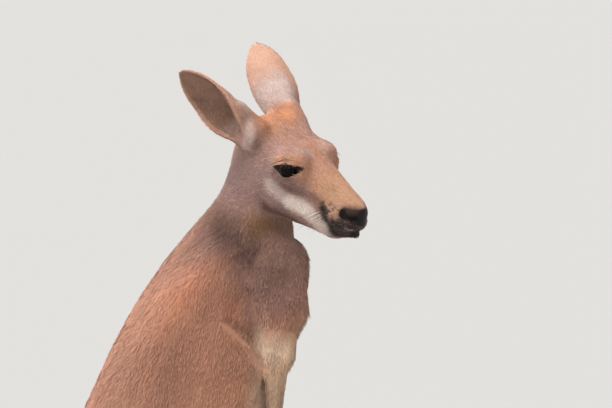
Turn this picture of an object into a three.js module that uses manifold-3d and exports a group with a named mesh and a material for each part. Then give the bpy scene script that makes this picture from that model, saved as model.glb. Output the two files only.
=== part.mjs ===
// A red kangaroo at life size, standing upright on its hind feet and tail and looking to its right.
// Millimetres. +X is forward, +Y is the animal's left, +Z is up. The origin is on the floor, under
// the middle of the length from tail tip to toe claws. The body is laid out from a point between
// the legs, under the hips, and the whole is set forward by FORWARD at the end.
// The body is one smooth solid of blended muscle masses. Each named part is the stretch of that
// solid between its own flat cuts, found by rays sent outwards from a line through its middle.
import * as THREE from "three";
import { mergeVertices } from "three/addons/utils/BufferGeometryUtils.js";
import Module from "manifold-3d";

const wasm = await Module();
wasm.setup();

// ---- driving dimensions ---------------------------------------------------------------------
const GAP = 0.4; // between parts that meet
const INSET = 0.4; // from a flat cut to the nearest ring of centres
const FORWARD = 289; // from the middle of the length to the point between the legs
const HEAD_AT = [88, -5, 1121]; // where the skull sits on the neck
const HEAD_TURN = { yaw: -51, pitch: 20, roll: 7 }; // degrees: to the right, nose down, tilted
const EYE = { at: [98, 38.5, 34], radius: 15.5 }; // in the head's own frame
// The opening between the lids, from the middle of the eye.
const LIDS = { half: 22.5, high: 3.4, low: 10.8, ahead: 2, raised: 2.2 };
const EAR_BOW = 12;
const EAR_WALL = [
  // share of the length, radius, half angle of the wall in degrees, thickness
  [0, 14.5, 150, 10],
  [0.12, 18, 130, 8],
  [0.28, 24, 110, 7],
  [0.45, 29.5, 86, 6],
  [0.6, 32, 66, 5.5],
  [0.75, 34, 50, 5],
  [0.88, 33, 34, 5],
  [0.96, 31, 19, 4.5],
  [1, 30, 8, 4.5],
];
// Each ear's root on the head, its length, and the directions it rises along and opens towards
// in the body's frame.
const EARS = {
  right: {
    base: [18, -38, 47],
    length: 132,
    rise: [-0.767, 0.068, 0.639],
    open: [-0.574, -0.696, -0.432],
  },
  left: {
    base: [27, 38, 50],
    length: 138,
    rise: [-0.213, 0.605, 0.767],
    open: [0.575, 0.712, -0.403],
  },
};
const ARMS = {
  right: {
    side: -1,
    shoulder: [108, -66, 940],
    elbow: [107, -91, 849],
    wrist: [93, -109, 690],
    knuckles: [105, -106, 642],
  },
  left: {
    side: 1,
    shoulder: [103, 66, 941],
    elbow: [107, 91, 847],
    wrist: [121, 90, 692],
    knuckles: [133, 84, 644],
  },
};
const CLAW = { finger: 17, toe: 40, small_toe: 20 };

const colours = {
  back: 0xa9765a,
  flank: 0xb58a70,
  neck: 0x9a7a6a,
  face: 0xa98770,
  pale: 0xd8c6b2,
  limb: 0xc4a88e,
  paw: 0x4a3a34,
  nose: 0x1d1917,
  eye: 0x0d0907,
  claw: 0x231c19,
};

// ---- small vector helpers -------------------------------------------------------------------
const add = (a, b) => [a[0] + b[0], a[1] + b[1], a[2] + b[2]];
const sub = (a, b) => [a[0] - b[0], a[1] - b[1], a[2] - b[2]];
const scale = (a, s) => [a[0] * s, a[1] * s, a[2] * s];
const dot = (a, b) => a[0] * b[0] + a[1] * b[1] + a[2] * b[2];
const cross = (a, b) => [
  a[1] * b[2] - a[2] * b[1],
  a[2] * b[0] - a[0] * b[2],
  a[0] * b[1] - a[1] * b[0],
];
const unit = (a) => scale(a, 1 / Math.hypot(...a));
const mix = (a, b, t) => a + (b - a) * t;
const between = (a, b, t) => a.map((v, i) => mix(v, b[i], t));
const clamp = (v, lo, hi) => Math.min(Math.max(v, lo), hi);
const radians = THREE.MathUtils.degToRad;

// Axes are three unit columns. STRAIGHT leaves things as they are.
const STRAIGHT = [[1, 0, 0], [0, 1, 0], [0, 0, 1]];
const carry = (axes, v) => add(add(scale(axes[0], v[0]), scale(axes[1], v[1])), scale(axes[2], v[2]));
const combine = (outer, inner) => inner.map((column) => carry(outer, column));
function turned({ yaw = 0, pitch = 0, roll = 0 }) {
  const m = new THREE.Matrix4()
    .makeRotationZ(radians(yaw))
    .multiply(new THREE.Matrix4().makeRotationY(radians(pitch)))
    .multiply(new THREE.Matrix4().makeRotationX(radians(roll)));
  const e = m.elements;
  return [e.slice(0, 3), e.slice(4, 7), e.slice(8, 11)];
}
// Axes with Z along rise and X as near to open as that allows.
function facing(rise, open) {
  const up = unit(rise);
  const front = unit(sub(open, scale(up, dot(open, up))));
  return [front, cross(up, front), up];
}

// ---- shapes: each is a function of a point that gives its distance outside the surface ----------
function ovalDistance(u, v, w, a, b, c) {
  const k0 = Math.hypot(u / a, v / b, w / c);
  const k1 = Math.hypot(u / (a * a), v / (b * b), w / (c * c));
  return (k0 * (k0 - 1)) / Math.max(k1, 1e-6);
}
function egg(centre, radii, axes = STRAIGHT) {
  return (p) => {
    const q = sub(p, centre);
    return ovalDistance(dot(q, axes[0]), dot(q, axes[1]), dot(q, axes[2]), ...radii);
  };
}
// A round cone from a to b, squeezed by flat along the direction across.
function cone(a, b, ra, rb, flat = 1, across = [0, 1, 0]) {
  const d = sub(b, a);
  const l2 = dot(d, d);
  const w = unit(sub(across, scale(d, dot(across, d) / l2)));
  return (p) => {
    const v = sub(p, a);
    const t = clamp(dot(v, d) / l2, 0, 1);
    const q = sub(v, scale(d, t));
    const r = mix(ra, rb, t);
    const s = dot(q, w);
    const rest = Math.sqrt(Math.max(dot(q, q) - s * s, 0));
    return ovalDistance(s, rest, 0, r * flat, r, 1);
  };
}
// Extra points on the smooth curve through the rows of a table, whatever the rows hold.
function smoothRows(rows, steps) {
  const ends = [
    rows[0].map((v, i) => 2 * v - rows[1][i]),
    ...rows,
    rows.at(-1).map((v, i) => 2 * v - rows.at(-2)[i]),
  ];
  const out = [];
  for (let i = 1; i < ends.length - 2; i++) {
    for (let k = 0; k < steps; k++) {
      const t = k / steps;
      const [a, b, c, d] = [ends[i - 1], ends[i], ends[i + 1], ends[i + 2]];
      out.push(
        b.map(
          (v, j) =>
            0.5 *
            (2 * v +
              (c[j] - a[j]) * t +
              (2 * a[j] - 5 * v + 4 * c[j] - d[j]) * t * t +
              (3 * v - a[j] - 3 * c[j] + d[j]) * t ** 3),
        ),
      );
    }
  }
  out.push(rows.at(-1));
  return out;
}
// An oval section that follows the smooth line through its stations: x, y, z, half width, half depth.
function sweep(stations) {
  const rows = smoothRows(stations, 4);
  return (p) => {
    let best = Infinity;
    let found = null;
    for (let i = 0; i + 1 < rows.length; i++) {
      const d = sub(rows[i + 1], rows[i]);
      const v = sub(p, rows[i]);
      const t = clamp(dot(v, d) / dot(d, d), 0, 1);
      const q = sub(v, scale(d, t));
      const gap = dot(q, q);
      if (gap < best) {
        best = gap;
        found = [q, mix(rows[i][3], rows[i + 1][3], t), mix(rows[i][4], rows[i + 1][4], t)];
      }
    }
    const [q, wide, deep] = found;
    return ovalDistance(q[1], Math.hypot(q[0], q[2]), 0, wide, deep, 1);
  };
}
function smoothMin(a, b, k) {
  const h = clamp(0.5 + (0.5 * (b - a)) / k, 0, 1);
  return mix(b, a, h) - k * h * (1 - h);
}

// ---- the body: masses are blended in one after another -----------------------------------------
const masses = [];
const blend = (shape, softness) => masses.push({ shape, softness });

function trunk() {
  blend(
    sweep([
      [-165, 0, 410, 74, 80],
      [-112, 0, 478, 108, 116],
      [-62, 0, 560, 122, 140],
      [-38, 0, 650, 122, 145],
      [-26, 0, 740, 114, 133],
      [-14, 0, 810, 101, 112],
      [0, 0, 870, 88, 92],
      [20, 0, 925, 77, 78],
      [46, 0, 972, 66, 68],
      [68, -1, 1010, 56, 60],
      [84, -2, 1048, 47, 51],
      [92, -4, 1088, 42, 42],
      [96, -6, 1120, 38, 38],
    ]),
    18,
  );
  blend(egg([76, 0, 955], [56, 62, 66], turned({ pitch: 25 })), 24); // rib cage
  blend(egg([106, 0, 982], [41, 46, 48]), 24); // breast
  blend(egg([113, -4, 1018], [33, 32, 34]), 20); // throat
  blend(egg([30, 0, 676], [90, 100, 130]), 36); // belly
  for (const side of [1, -1]) {
    blend(egg([30, side * 50, 940], [48, 34, 78], turned({ pitch: 18 })), 22); // shoulder blade
    blend(egg([-48, side * 22, 840], [48, 56, 116], turned({ pitch: 24 })), 30); // back muscle
    blend(egg([-112, side * 50, 490], [86, 72, 104]), 36); // rump
    blend(egg([44, side * 62, 802], [56, 40, 120]), 24); // fold of the flank
    blend(cone([88, side * 64, 936], [64, side * 72, 836], 26, 24), 20); // behind the upper arm
  }
}

const TAIL = [
  [-120, 0, 470, 88, 92],
  [-178, 0, 392, 72, 82],
  [-230, -2, 314, 59, 69],
  [-286, -6, 232, 51, 58],
  [-350, -12, 152, 45, 50],
  [-428, -22, 84, 41, 43],
  [-520, -34, 42, 36, 38],
  [-625, -44, 28, 31, 31],
  [-730, -48, 22, 25, 25],
  [-820, -44, 15, 18, 18],
  [-876, -38, 9, 12, 12],
];

function arm({ side, shoulder, elbow, wrist, knuckles }) {
  const muscle = add(between(shoulder, elbow, 0.35), [11, side * 2, 0]);
  blend(egg(add(shoulder, [16, -side * 22, 32]), [40, 30, 42]), 20);
  blend(egg(add(shoulder, [4, -side * 4, 2]), [44, 32, 48]), 22);
  blend(cone(shoulder, elbow, 37, 25, 0.8), 16);
  blend(egg(muscle, [38, 27, 39]), 18);
  blend(egg(add(elbow, [2, 0, 8]), [23, 19, 32]), 18);
  blend(cone(add(elbow, [0, 0, -4]), wrist, 17, 9, 0.9), 10);
  blend(egg(between(elbow, wrist, 0.22), [15, 14, 40]), 12);
  blend(egg(between(wrist, knuckles, 0.5), [10.5, 14, 26], turned({ pitch: -12 })), 10);
  for (const finger of fingers({ side, knuckles })) blend(cone(finger.root, finger.tip, 6, 4.2), 3);
}
// Five fingers fan out from the knuckles, the middle one longest.
function fingers({ side, knuckles }) {
  return [-2, -1, 0, 1, 2].map((k) => {
    const root = add(knuckles, [2 - Math.abs(k) * 3, side * k * 6, 4 + k * k]);
    return { root, tip: add(root, [10 - Math.abs(k), side * k * 4, -30 + Math.abs(k) * 3]) };
  });
}

// Toes, each with its claw's root and point: the long fourth, the short fifth and the joined small pair.
const toes = (side) => ({
  long: { claw: [278, side * 97.5, 14], to: [278 + CLAW.toe - 8, side * 99, 3], r: 8 },
  outer: { claw: [219, side * 125, 10], to: [219 + CLAW.small_toe, side * 129, 3], r: 5.5 },
  pair_a: { claw: [198, side * 66.5, 9], to: [198 + CLAW.small_toe - 4, side * 65, 3], r: 3.2 },
  pair_b: { claw: [198, side * 73.5, 9], to: [198 + CLAW.small_toe - 4, side * 73, 3], r: 3.2 },
});

function leg(side) {
  const y = (v) => side * v;
  // thigh
  blend(
    sweep([
      [-92, y(66), 492, 76, 128],
      [-30, y(88), 478, 78, 128],
      [40, y(108), 456, 70, 104],
      [100, y(121), 436, 54, 74],
      [142, y(127), 420, 42, 48],
    ]),
    30,
  );
  blend(egg([-66, y(96), 408], [86, 54, 92], turned({ pitch: -24 })), 30);
  blend(egg([36, y(106), 376], [72, 42, 58], turned({ pitch: -20 })), 26);
  blend(egg([150, y(127), 428], [38, 33, 42]), 16); // knee
  // shank
  blend(
    sweep([
      [134, y(126), 404, 42, 48],
      [88, y(117), 320, 44, 58],
      [38, y(108), 226, 33, 43],
      [-2, y(99), 142, 22, 27],
      [-24, y(93), 82, 20, 26],
    ]),
    20,
  );
  blend(egg([56, y(113), 322], [44, 40, 96], turned({ pitch: 24 })), 24); // calf
  blend(
    sweep([
      [34, y(110), 290, 24, 26],
      [-14, y(102), 190, 12, 15],
      [-44, y(95), 110, 9, 12],
      [-54, y(93), 58, 12, 13],
    ]),
    16,
  ); // heel tendon
  // foot
  blend(egg([-40, y(93), 38], [32, 21, 35]), 16);
  blend(
    sweep([
      [-30, y(93), 33, 23, 31],
      [50, y(92), 25, 23, 27],
      [130, y(93), 20, 25, 24],
      [196, y(94), 16, 24, 20],
    ]),
    14,
  );
  blend(cone([180, y(94), 17], [262, y(97), 10], 18, 12.5, 1.15), 10);
  blend(egg([262, y(97), 11], [20, 15, 13]), 6);
  blend(cone([150, y(112), 17], [214, y(124), 8], 13, 9.5), 8);
  blend(cone([140, y(74), 15], [196, y(70), 7], 8, 6.5), 6);
}

const HEAD_AXES = turned(HEAD_TURN);
const onHead = (p) => add(HEAD_AT, carry(HEAD_AXES, p));

function head() {
  const mass = (centre, radii, softness, pitch = 0) =>
    blend(egg(onHead(centre), radii, combine(HEAD_AXES, turned({ pitch }))), softness);
  const taper = (a, b, ra, rb, softness, flat = 1) =>
    blend(cone(onHead(a), onHead(b), ra, rb, flat, HEAD_AXES[1]), softness);
  mass([44, 0, 24], [52, 41, 44], 24); // braincase
  taper([88, 0, 17], [174, 0, -4], 43, 30, 16, 0.84); // face
  taper([96, 0, 37], [188, 0, 9], 24, 14, 14); // bridge of the nose
  mass([182, 0, -8], [31, 23, 28], 12); // end of the muzzle
  mass([198, 0, 2], [19, 18.5, 17], 8); // nose pad
  mass([197, 0, -11], [22, 17, 14], 8); // upper lip
  mass([95, 0, -42], [31, 16, 14], 14); // throat
  for (const side of [1, -1]) {
    mass([72, side * 29, 2], [44, 18, 30], 16); // cheekbone
    mass([80, side * 26, 24], [40, 18, 25], 14); // eye socket's rim
    mass([50, side * 22, -26], [42, 18, 34], 18); // jaw muscle
    taper([58, side * 16, -38], [160, side * 6, -38], 15, 11, 12); // lower jaw
    taper([84, side * 22, -20], [150, side * 11, -26], 21, 15, 14); // side of the jaw
    mass([93, side * 29, 49], [25, 12, 11], 20, -14); // brow
    mass([182, side * 13, -11], [28, 13, 17], 8); // whisker pad
    mass([EYE.at[0], side * 36, EYE.at[2]], [24, 15.5, 17], 18); // lids
  }
  mass([160, 0, -39], [26, 12, 13], 8); // under the chin
  taper([170, 0, -39], [205, 0, -24], 13, 10.5, 6, 1.15); // chin
  for (const { base } of Object.values(EARS)) mass(add(base, [2, 0, 2]), [22, 18, 20], 12);
  taper([24, 42, 78], [66, 28, 46], 8, 15, 16); // front of the left ear's root
  taper([0, -46, 85], [25, -30, 65], 7, 11, 14); // inner side of the right ear's root
  mass([20, 2, 54], [26, 30, 16], 16); // crown
}

trunk();
blend(sweep(TAIL), 36);
for (const a of Object.values(ARMS)) arm(a);
for (const side of [1, -1]) leg(side);
head();

// How far a point is outside the body.
function body(p) {
  let d = 400;
  for (const { shape, softness } of masses) d = smoothMin(d, shape(p), softness);
  return d;
}

// ---- from the smooth solid to closed meshes -----------------------------------------------------
// A flat cut: what lies beyond it along out isn't kept. Neighbours each stop half a gap short of it.
const cut = (at, out, room = GAP / 2) => (p) => dot(sub(p, at), out) + room;
function within(...shapes) {
  const solid = (p) => Math.max(...shapes.map((shape) => shape(p)));
  // Which of the shapes the surface belongs to at a point on it.
  solid.face = (p) => {
    const depths = shapes.map((shape) => shape(p));
    return depths.indexOf(Math.max(...depths));
  };
  return solid;
}
const swollen = (shape, by) => (p) => shape(p) - by;
const FLOOR = cut([0, 0, 0], [0, 0, -1], 0);

// The last point inside the solid on the ray from a point inside it.
function reach(solid, from, way) {
  const STRIDE = 5;
  const at = (s) => add(from, scale(way, s));
  let near = 0;
  let far = STRIDE;
  while (solid(at(far)) < 0) {
    near = far;
    far += STRIDE;
  }
  for (let i = 0; i < 16; i++) {
    const half = (near + far) / 2;
    if (solid(at(half)) < 0) near = half;
    else far = half;
  }
  const found = at(near);
  return found[2] < 0.01 ? [found[0], found[1], 0] : found;
}

// Where a flat cut begins between two rays, the nearer ray moves to that edge, so that it stays sharp.
function toEdges(turns, hit, face) {
  if (!face) return turns;
  const faces = turns.map((turn) => face(hit(turn)));
  const moved = [...turns];
  const step = turns[1] - turns[0];
  turns.forEach((turn, j) => {
    const k = (j + 1) % turns.length;
    if (faces[j] === faces[k]) return;
    let near = 0;
    let far = 1;
    for (let i = 0; i < 8; i++) {
      const half = (near + far) / 2;
      if (face(hit(turn + half * step)) === faces[j]) near = half;
      else far = half;
    }
    const nearer = near < 0.5 ? j : k;
    if (moved[nearer] === turns[nearer]) moved[nearer] = turn + near * step;
  });
  return moved;
}

// Rings of rays round a line of centres. A ring lies square to its facing. An end is flat, closed by
// a fan in the ring's own plane, or round, closed by rays that turn towards the line.
function wrap(solid, { line, facings, sides, flat = [true, true], across = [0, 1, 0], domeRings = 3 }) {
  const points = [];
  const rings = [];
  const ring = (at, facing, tilt) => {
    const e1 = unit(sub(across, scale(facing, dot(across, facing))));
    const e2 = cross(facing, e1);
    const hit = (turn) => {
      const spoke = add(scale(e1, Math.cos(turn)), scale(e2, Math.sin(turn)));
      return reach(solid, at, add(scale(spoke, Math.cos(tilt)), scale(facing, Math.sin(tilt))));
    };
    const turns = Array.from({ length: sides }, (_, j) => (2 * Math.PI * j) / sides);
    rings.push(toEdges(turns, hit, solid.face).map((turn) => points.push(hit(turn)) - 1));
  };
  const tilts = Array.from({ length: domeRings }, (_, k) => ((k + 1) / (domeRings + 1)) * (Math.PI / 2));
  if (!flat[0]) for (const tilt of tilts.toReversed()) ring(line[0], facings[0], -tilt);
  line.forEach((at, i) => ring(at, facings[i], 0));
  if (!flat[1]) for (const tilt of tilts) ring(line.at(-1), facings.at(-1), tilt);
  const pole = (i, way) => points.push(flat[i] ? line.at(-i) : reach(solid, line.at(-i), way)) - 1;
  const first = pole(0, scale(facings[0], -1));
  const last = pole(1, facings.at(-1));
  const faces = [];
  for (let j = 0; j < sides; j++) {
    const k = (j + 1) % sides;
    faces.push([first, rings[0][k], rings[0][j]], [last, rings.at(-1)[j], rings.at(-1)[k]]);
    for (let i = 0; i + 1 < rings.length; i++) {
      const [a, b, c, d] = [rings[i][j], rings[i][k], rings[i + 1][k], rings[i + 1][j]];
      faces.push([a, b, c], [a, c, d]);
    }
  }
  return closed(points, faces);
}

function closed(points, faces) {
  const vertProperties = new Float32Array(points.flat());
  const triVerts = new Uint32Array(faces.flat());
  return new wasm.Manifold(new wasm.Mesh({ numProp: 3, vertProperties, triVerts }));
}

// A closed three.js geometry as a solid.
function solidOf(geometry, matrix = new THREE.Matrix4()) {
  const shape = geometry.clone();
  shape.deleteAttribute("normal");
  shape.deleteAttribute("uv");
  const merged = mergeVertices(shape.applyMatrix4(matrix), 1e-4);
  const index = merged.index.array;
  const faces = [];
  for (let i = 0; i < index.length; i += 3) {
    const face = [index[i], index[i + 1], index[i + 2]];
    if (new Set(face).size === 3) faces.push(face);
  }
  const at = merged.attributes.position.array;
  const points = Array.from({ length: at.length / 3 }, (_, i) => [at[3 * i], at[3 * i + 1], at[3 * i + 2]]);
  return closed(points, faces);
}

// The line of centres between two ends, with facings that turn evenly from one to the other.
function course(ends, facings, rings, bulge = [0, 0, 0]) {
  const share = Array.from({ length: rings }, (_, i) => i / (rings - 1));
  return {
    line: share.map((t) => add(between(ends[0], ends[1], t), scale(bulge, Math.sin(Math.PI * t)))),
    facings: share.map((t) => unit(between(facings[0], facings[1], t))),
  };
}

const group = new THREE.Group();
function piece(name, solid, colour, { rough = 0.85, metal = 0 } = {}) {
  const { numProp, vertProperties, triVerts } = solid.getMesh();
  const geometry = new THREE.BufferGeometry();
  const at = new Float32Array((vertProperties.length / numProp) * 3);
  for (let i = 0; i < at.length / 3; i++) {
    for (let k = 0; k < 3; k++) at[3 * i + k] = vertProperties[i * numProp + k];
  }
  geometry.setAttribute("position", new THREE.BufferAttribute(at, 3));
  geometry.setIndex(new THREE.BufferAttribute(triVerts, 1));
  const material = new THREE.MeshStandardMaterial({ color: colour, roughness: rough, metalness: metal });
  const mesh = new THREE.Mesh(geometry, material);
  mesh.name = name;
  group.add(mesh);
}

// ---- the parts ----------------------------------------------------------------------------------
const ARMPIT_Z = 925;
const HIP_Z = 590;
const ELBOW_Z = 838;
const WAIST_Z = ELBOW_Z;
const WRIST_Z = 692;
const ANKLE_Z = 84;
const DOWN = [0, 0, -1];
const UP = [0, 0, 1];
const AHEAD = [1, 0, 0];
const back = (v) => scale(v, -1);

const nape = { at: onHead([-5, 0, -10]), out: carry(HEAD_AXES, unit([50, 0, 65])) };
const neckBase = { at: [60, -1, 992], out: unit([0.3, 0, 0.95]) };
const tailRoot = { at: TAIL[1].slice(0, 3), out: unit(sub(TAIL[2].slice(0, 3), TAIL[0].slice(0, 3))) };
const hip = (side) => ({ at: [-40, side * 64, 0], out: unit([0.22, side * 0.975, 0]) });
const knee = { at: [0, 0, 305], out: unit([0.477, 0, -0.879]) };
// Between the trunk and an arm, above the elbow and below it.
const armSide = (side) => ({ at: [83, side * 58, 0], out: unit([0.76, side * 0.65, 0]) });
const armGap = (side) => ({ at: [98, side * 76, 0], out: unit([0.64, side * 0.768, 0]) });
const upTo = ({ at, out }) => cut(at, out);
const beyond = ({ at, out }) => cut(at, back(out));
const level = (z) => [0, 0, z];

function makeTrunk() {
  const neck = within(body, beyond(neckBase), upTo(nape));
  const neckEnds = [add(neckBase.at, [0, 0, INSET]), onHead([26, 0, -35.3])];
  const neckRun = course(neckEnds, [neckBase.out, nape.out], 6);
  piece("neck", wrap(neck, { ...neckRun, sides: 16 }), colours.neck);

  const shoulders = within(body, cut(level(ARMPIT_Z), DOWN), upTo(neckBase));
  const shoulderEnds = [[42, 0, ARMPIT_Z + INSET], add(neckBase.at, [0, 0, -INSET])];
  const shoulderRun = course(shoulderEnds, [UP, neckBase.out], 6);
  piece("shoulders", wrap(shoulders, { ...shoulderRun, sides: 24 }), colours.neck);

  const sides = [1, -1].map((side) => upTo(armSide(side)));
  const chest = within(body, cut(level(ARMPIT_Z), UP), cut(level(WAIST_Z), DOWN), ...sides);
  const chestRun = course([[4, 0, WAIST_Z + INSET], [20, 0, ARMPIT_Z - INSET]], [UP, UP], 6);
  piece("chest", wrap(chest, { ...chestRun, sides: 20 }), colours.back);

  const gaps = [1, -1].map((side) => upTo(armGap(side)));
  const belly = within(body, cut(level(WAIST_Z), UP), cut(level(HIP_Z), DOWN), ...gaps);
  const bellyRun = course([[-20, 0, HIP_Z + INSET], [4, 0, WAIST_Z - INSET]], [UP, UP], 10);
  piece("belly", wrap(belly, { ...bellyRun, sides: 20 }), colours.flank);

  const hips = [1, -1].map((side) => upTo(hip(side)));
  const pelvis = within(body, cut(level(HIP_Z), UP), upTo(tailRoot), ...hips);
  const pelvisEnds = [[-60, 0, HIP_Z - INSET], sub(tailRoot.at, scale(tailRoot.out, INSET))];
  const pelvisRun = course(pelvisEnds, [DOWN, tailRoot.out], 9);
  piece("pelvis", wrap(pelvis, { ...pelvisRun, sides: 20 }), colours.back);
}

// The tail in four lengths, each from one chosen station of the curve to the next.
function makeTail() {
  const STEPS = 3;
  const rows = smoothRows(TAIL, STEPS).map((row) => row.slice(0, 3));
  const facing = (i) => unit(sub(rows[Math.min(i + 1, rows.length - 1)], rows[Math.max(i - 1, 0)]));
  const joints = [1, 3, 5, 7, TAIL.length - 1].map((i) => i * STEPS);
  for (let k = 0; k + 1 < joints.length; k++) {
    const [first, last] = [joints[k], joints[k + 1]];
    const tip = k + 2 === joints.length;
    const start = k === 0 ? tailRoot : { at: rows[first], out: facing(first) };
    const limits = [beyond(start), FLOOR, upTo(hip(1)), upTo(hip(-1))];
    if (!tip) limits.push(cut(rows[last], facing(last)));
    const facings = Array.from({ length: last - first + 1 }, (_, i) => facing(first + i));
    facings[0] = start.out;
    const line = rows.slice(first, last + 1);
    line[0] = add(line[0], scale(facings[0], INSET));
    line[line.length - 1] = sub(line.at(-1), scale(facings.at(-1), INSET));
    const sides = 14 - 2 * Math.min(k, 2);
    const solid = wrap(within(body, ...limits), { line, facings, sides, flat: [true, !tip] });
    piece(`tail_${k + 1}`, solid, colours.back);
  }
}

// A claw: a tapering horn that bends towards the ground.
function clawSolid(root, tip, radius, sag = 0.12) {
  const SIDES = 6;
  const shares = [0, 0.4, 0.75];
  const along = sub(tip, root);
  const e1 = unit(cross(along, UP));
  const e2 = unit(cross(e1, along));
  const lift = scale(e2, sag * Math.hypot(...along));
  const points = [];
  for (const t of shares) {
    const centre = add(add(root, scale(along, t)), scale(lift, Math.sin(Math.PI * t)));
    for (let j = 0; j < SIDES; j++) {
      const turn = (2 * Math.PI * j) / SIDES;
      const r = radius * (1 - t) ** 0.7;
      const spoke = add(scale(e1, Math.cos(turn) * 0.75), scale(e2, Math.sin(turn)));
      points.push(add(centre, scale(spoke, r)));
    }
  }
  const start = points.push(root) - 1;
  const end = points.push(tip) - 1;
  const faces = [];
  for (let j = 0; j < SIDES; j++) {
    const k = (j + 1) % SIDES;
    const top = (shares.length - 1) * SIDES;
    faces.push([start, j, k], [end, top + k, top + j]);
    for (let i = 0; i + 1 < shares.length; i++) {
      const [a, b] = [i * SIDES, (i + 1) * SIDES];
      faces.push([a + j, b + j, b + k], [a + j, b + k, a + k]);
    }
  }
  return closed(points, faces);
}

function makeArm(name, limb) {
  const { side, shoulder, elbow, wrist, knuckles } = limb;
  const below = (z) => cut(level(z), UP);
  const above = (z) => cut(level(z), DOWN);
  const at = (a, b, z) => between(a, b, (z - a[2]) / (b[2] - a[2]));
  const upper = within(body, below(ARMPIT_Z), above(ELBOW_Z), beyond(armSide(side)));
  const elbowEnd = add(elbow, [0, 0, ELBOW_Z + INSET - elbow[2]]);
  const upperRun = course([at(shoulder, elbow, ARMPIT_Z - INSET), elbowEnd], [DOWN, DOWN], 6);
  piece(`upper_arm_${name}`, wrap(upper, { ...upperRun, sides: 14 }), colours.limb);

  const fore = within(body, below(ELBOW_Z), above(WRIST_Z), beyond(armGap(side)));
  const foreEnds = [at(elbow, wrist, ELBOW_Z - INSET), at(elbow, wrist, WRIST_Z + INSET)];
  const foreRun = course(foreEnds, [DOWN, DOWN], 7);
  piece(`forearm_${name}`, wrap(fore, { ...foreRun, sides: 12 }), colours.limb);

  // The palm is wrapped by itself, and each finger is a tapering piece joined to it.
  const grip = unit(sub(knuckles, wrist));
  const end = { at: add(knuckles, scale(grip, 4)), out: grip };
  const palm = (swell) => {
    const solid = within(swollen(body, swell), below(WRIST_Z), cut(end.at, end.out));
    const start = add(wrist, [0, 0, WRIST_Z - INSET - wrist[2]]);
    const run = course([start, sub(end.at, scale(grip, 3))], [DOWN, grip], 5);
    return wrap(solid, { ...run, sides: 12 });
  };
  const finger = ({ root, tip }, swell) => {
    const way = unit(sub(tip, root));
    const solid = swollen(cone(root, tip, 6, 4.2), swell);
    const run = { line: [root, tip], facings: [way, way], flat: [false, false] };
    return wrap(solid, { ...run, sides: 6, domeRings: 1 });
  };
  const hand = (swell) => fingers(limb).reduce((sum, f) => sum.add(finger(f, swell)), palm(swell));
  piece(`hand_${name}`, hand(0), colours.paw);
  const clear = hand(GAP);
  fingers(limb).forEach(({ root, tip }, i) => {
    const way = unit(sub(tip, root));
    const point = add(add(tip, scale(way, CLAW.finger)), [-5, 0, 0]);
    const claw = clawSolid(tip, point, 3.4).subtract(clear);
    piece(`claw_hand_${name}_${i + 1}`, claw, colours.claw, { rough: 0.4 });
  });
}

function makeLeg(name, side) {
  const y = (v) => side * v;
  const thigh = within(body, cut(level(HIP_Z), UP), beyond(hip(side)), upTo(knee));
  const thighRun = course([[-95, y(112), 452], [128, y(124), 428]], [AHEAD, AHEAD], 9);
  piece(`thigh_${name}`, wrap(thigh, { ...thighRun, sides: 24, flat: [false, false] }), colours.flank);

  const shank = within(body, beyond(knee), cut(level(ANKLE_Z), DOWN));
  const shankRun = course([[92, y(118), 354.4], [-25, y(94), ANKLE_Z + INSET]], [knee.out, DOWN], 11);
  piece(`shank_${name}`, wrap(shank, { ...shankRun, sides: 14 }), colours.limb);

  const sole = (swell) => {
    const solid = within(swollen(body, swell), cut(level(ANKLE_Z), UP), FLOOR);
    const run = course([[-36, y(93), 36], [262, y(97), 11]], [AHEAD, AHEAD], 12);
    return wrap(solid, { ...run, sides: 14, flat: [false, false] });
  };
  piece(`foot_${name}`, sole(0), colours.paw);
  const clear = sole(GAP);
  for (const [toe, { claw, to, r }] of Object.entries(toes(side))) {
    piece(`claw_${toe}_${name}`, clawSolid(claw, to, r).subtract(clear), colours.claw, { rough: 0.4 });
  }
}

// The outward, lengthways and upward directions of an eye, on the head.
function eyeAxes(side) {
  const out = unit([0.22, side * 0.95, 0.16]);
  const slant = radians(18);
  const lengthways = [Math.cos(slant), 0, Math.sin(slant)];
  const along = scale(unit(sub(lengthways, scale(out, dot(lengthways, out)))), side);
  return [along, cross(out, along), out].map((v) => carry(HEAD_AXES, v));
}

function matrixOf([x, y, z], at) {
  return new THREE.Matrix4().makeBasis(...[x, y, z].map((v) => new THREE.Vector3(...v))).setPosition(...at);
}

// The opening between two lids, as a block to cut away.
function eyeOpening(side) {
  const { half, high, low, ahead, raised } = LIDS;
  const middle = side * ahead;
  const lids = new THREE.Shape()
    .moveTo(middle - half, raised)
    .quadraticCurveTo(middle, raised - 2 * low, middle + half, raised)
    .quadraticCurveTo(middle, raised + 2 * high, middle - half, raised);
  const block = new THREE.ExtrudeGeometry(lids, { depth: 34, bevelEnabled: false, curveSegments: 7 });
  const axes = eyeAxes(side);
  const centre = onHead([EYE.at[0], side * EYE.at[1], EYE.at[2]]);
  return solidOf(block, matrixOf(axes, add(centre, scale(axes[2], 6))));
}

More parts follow.
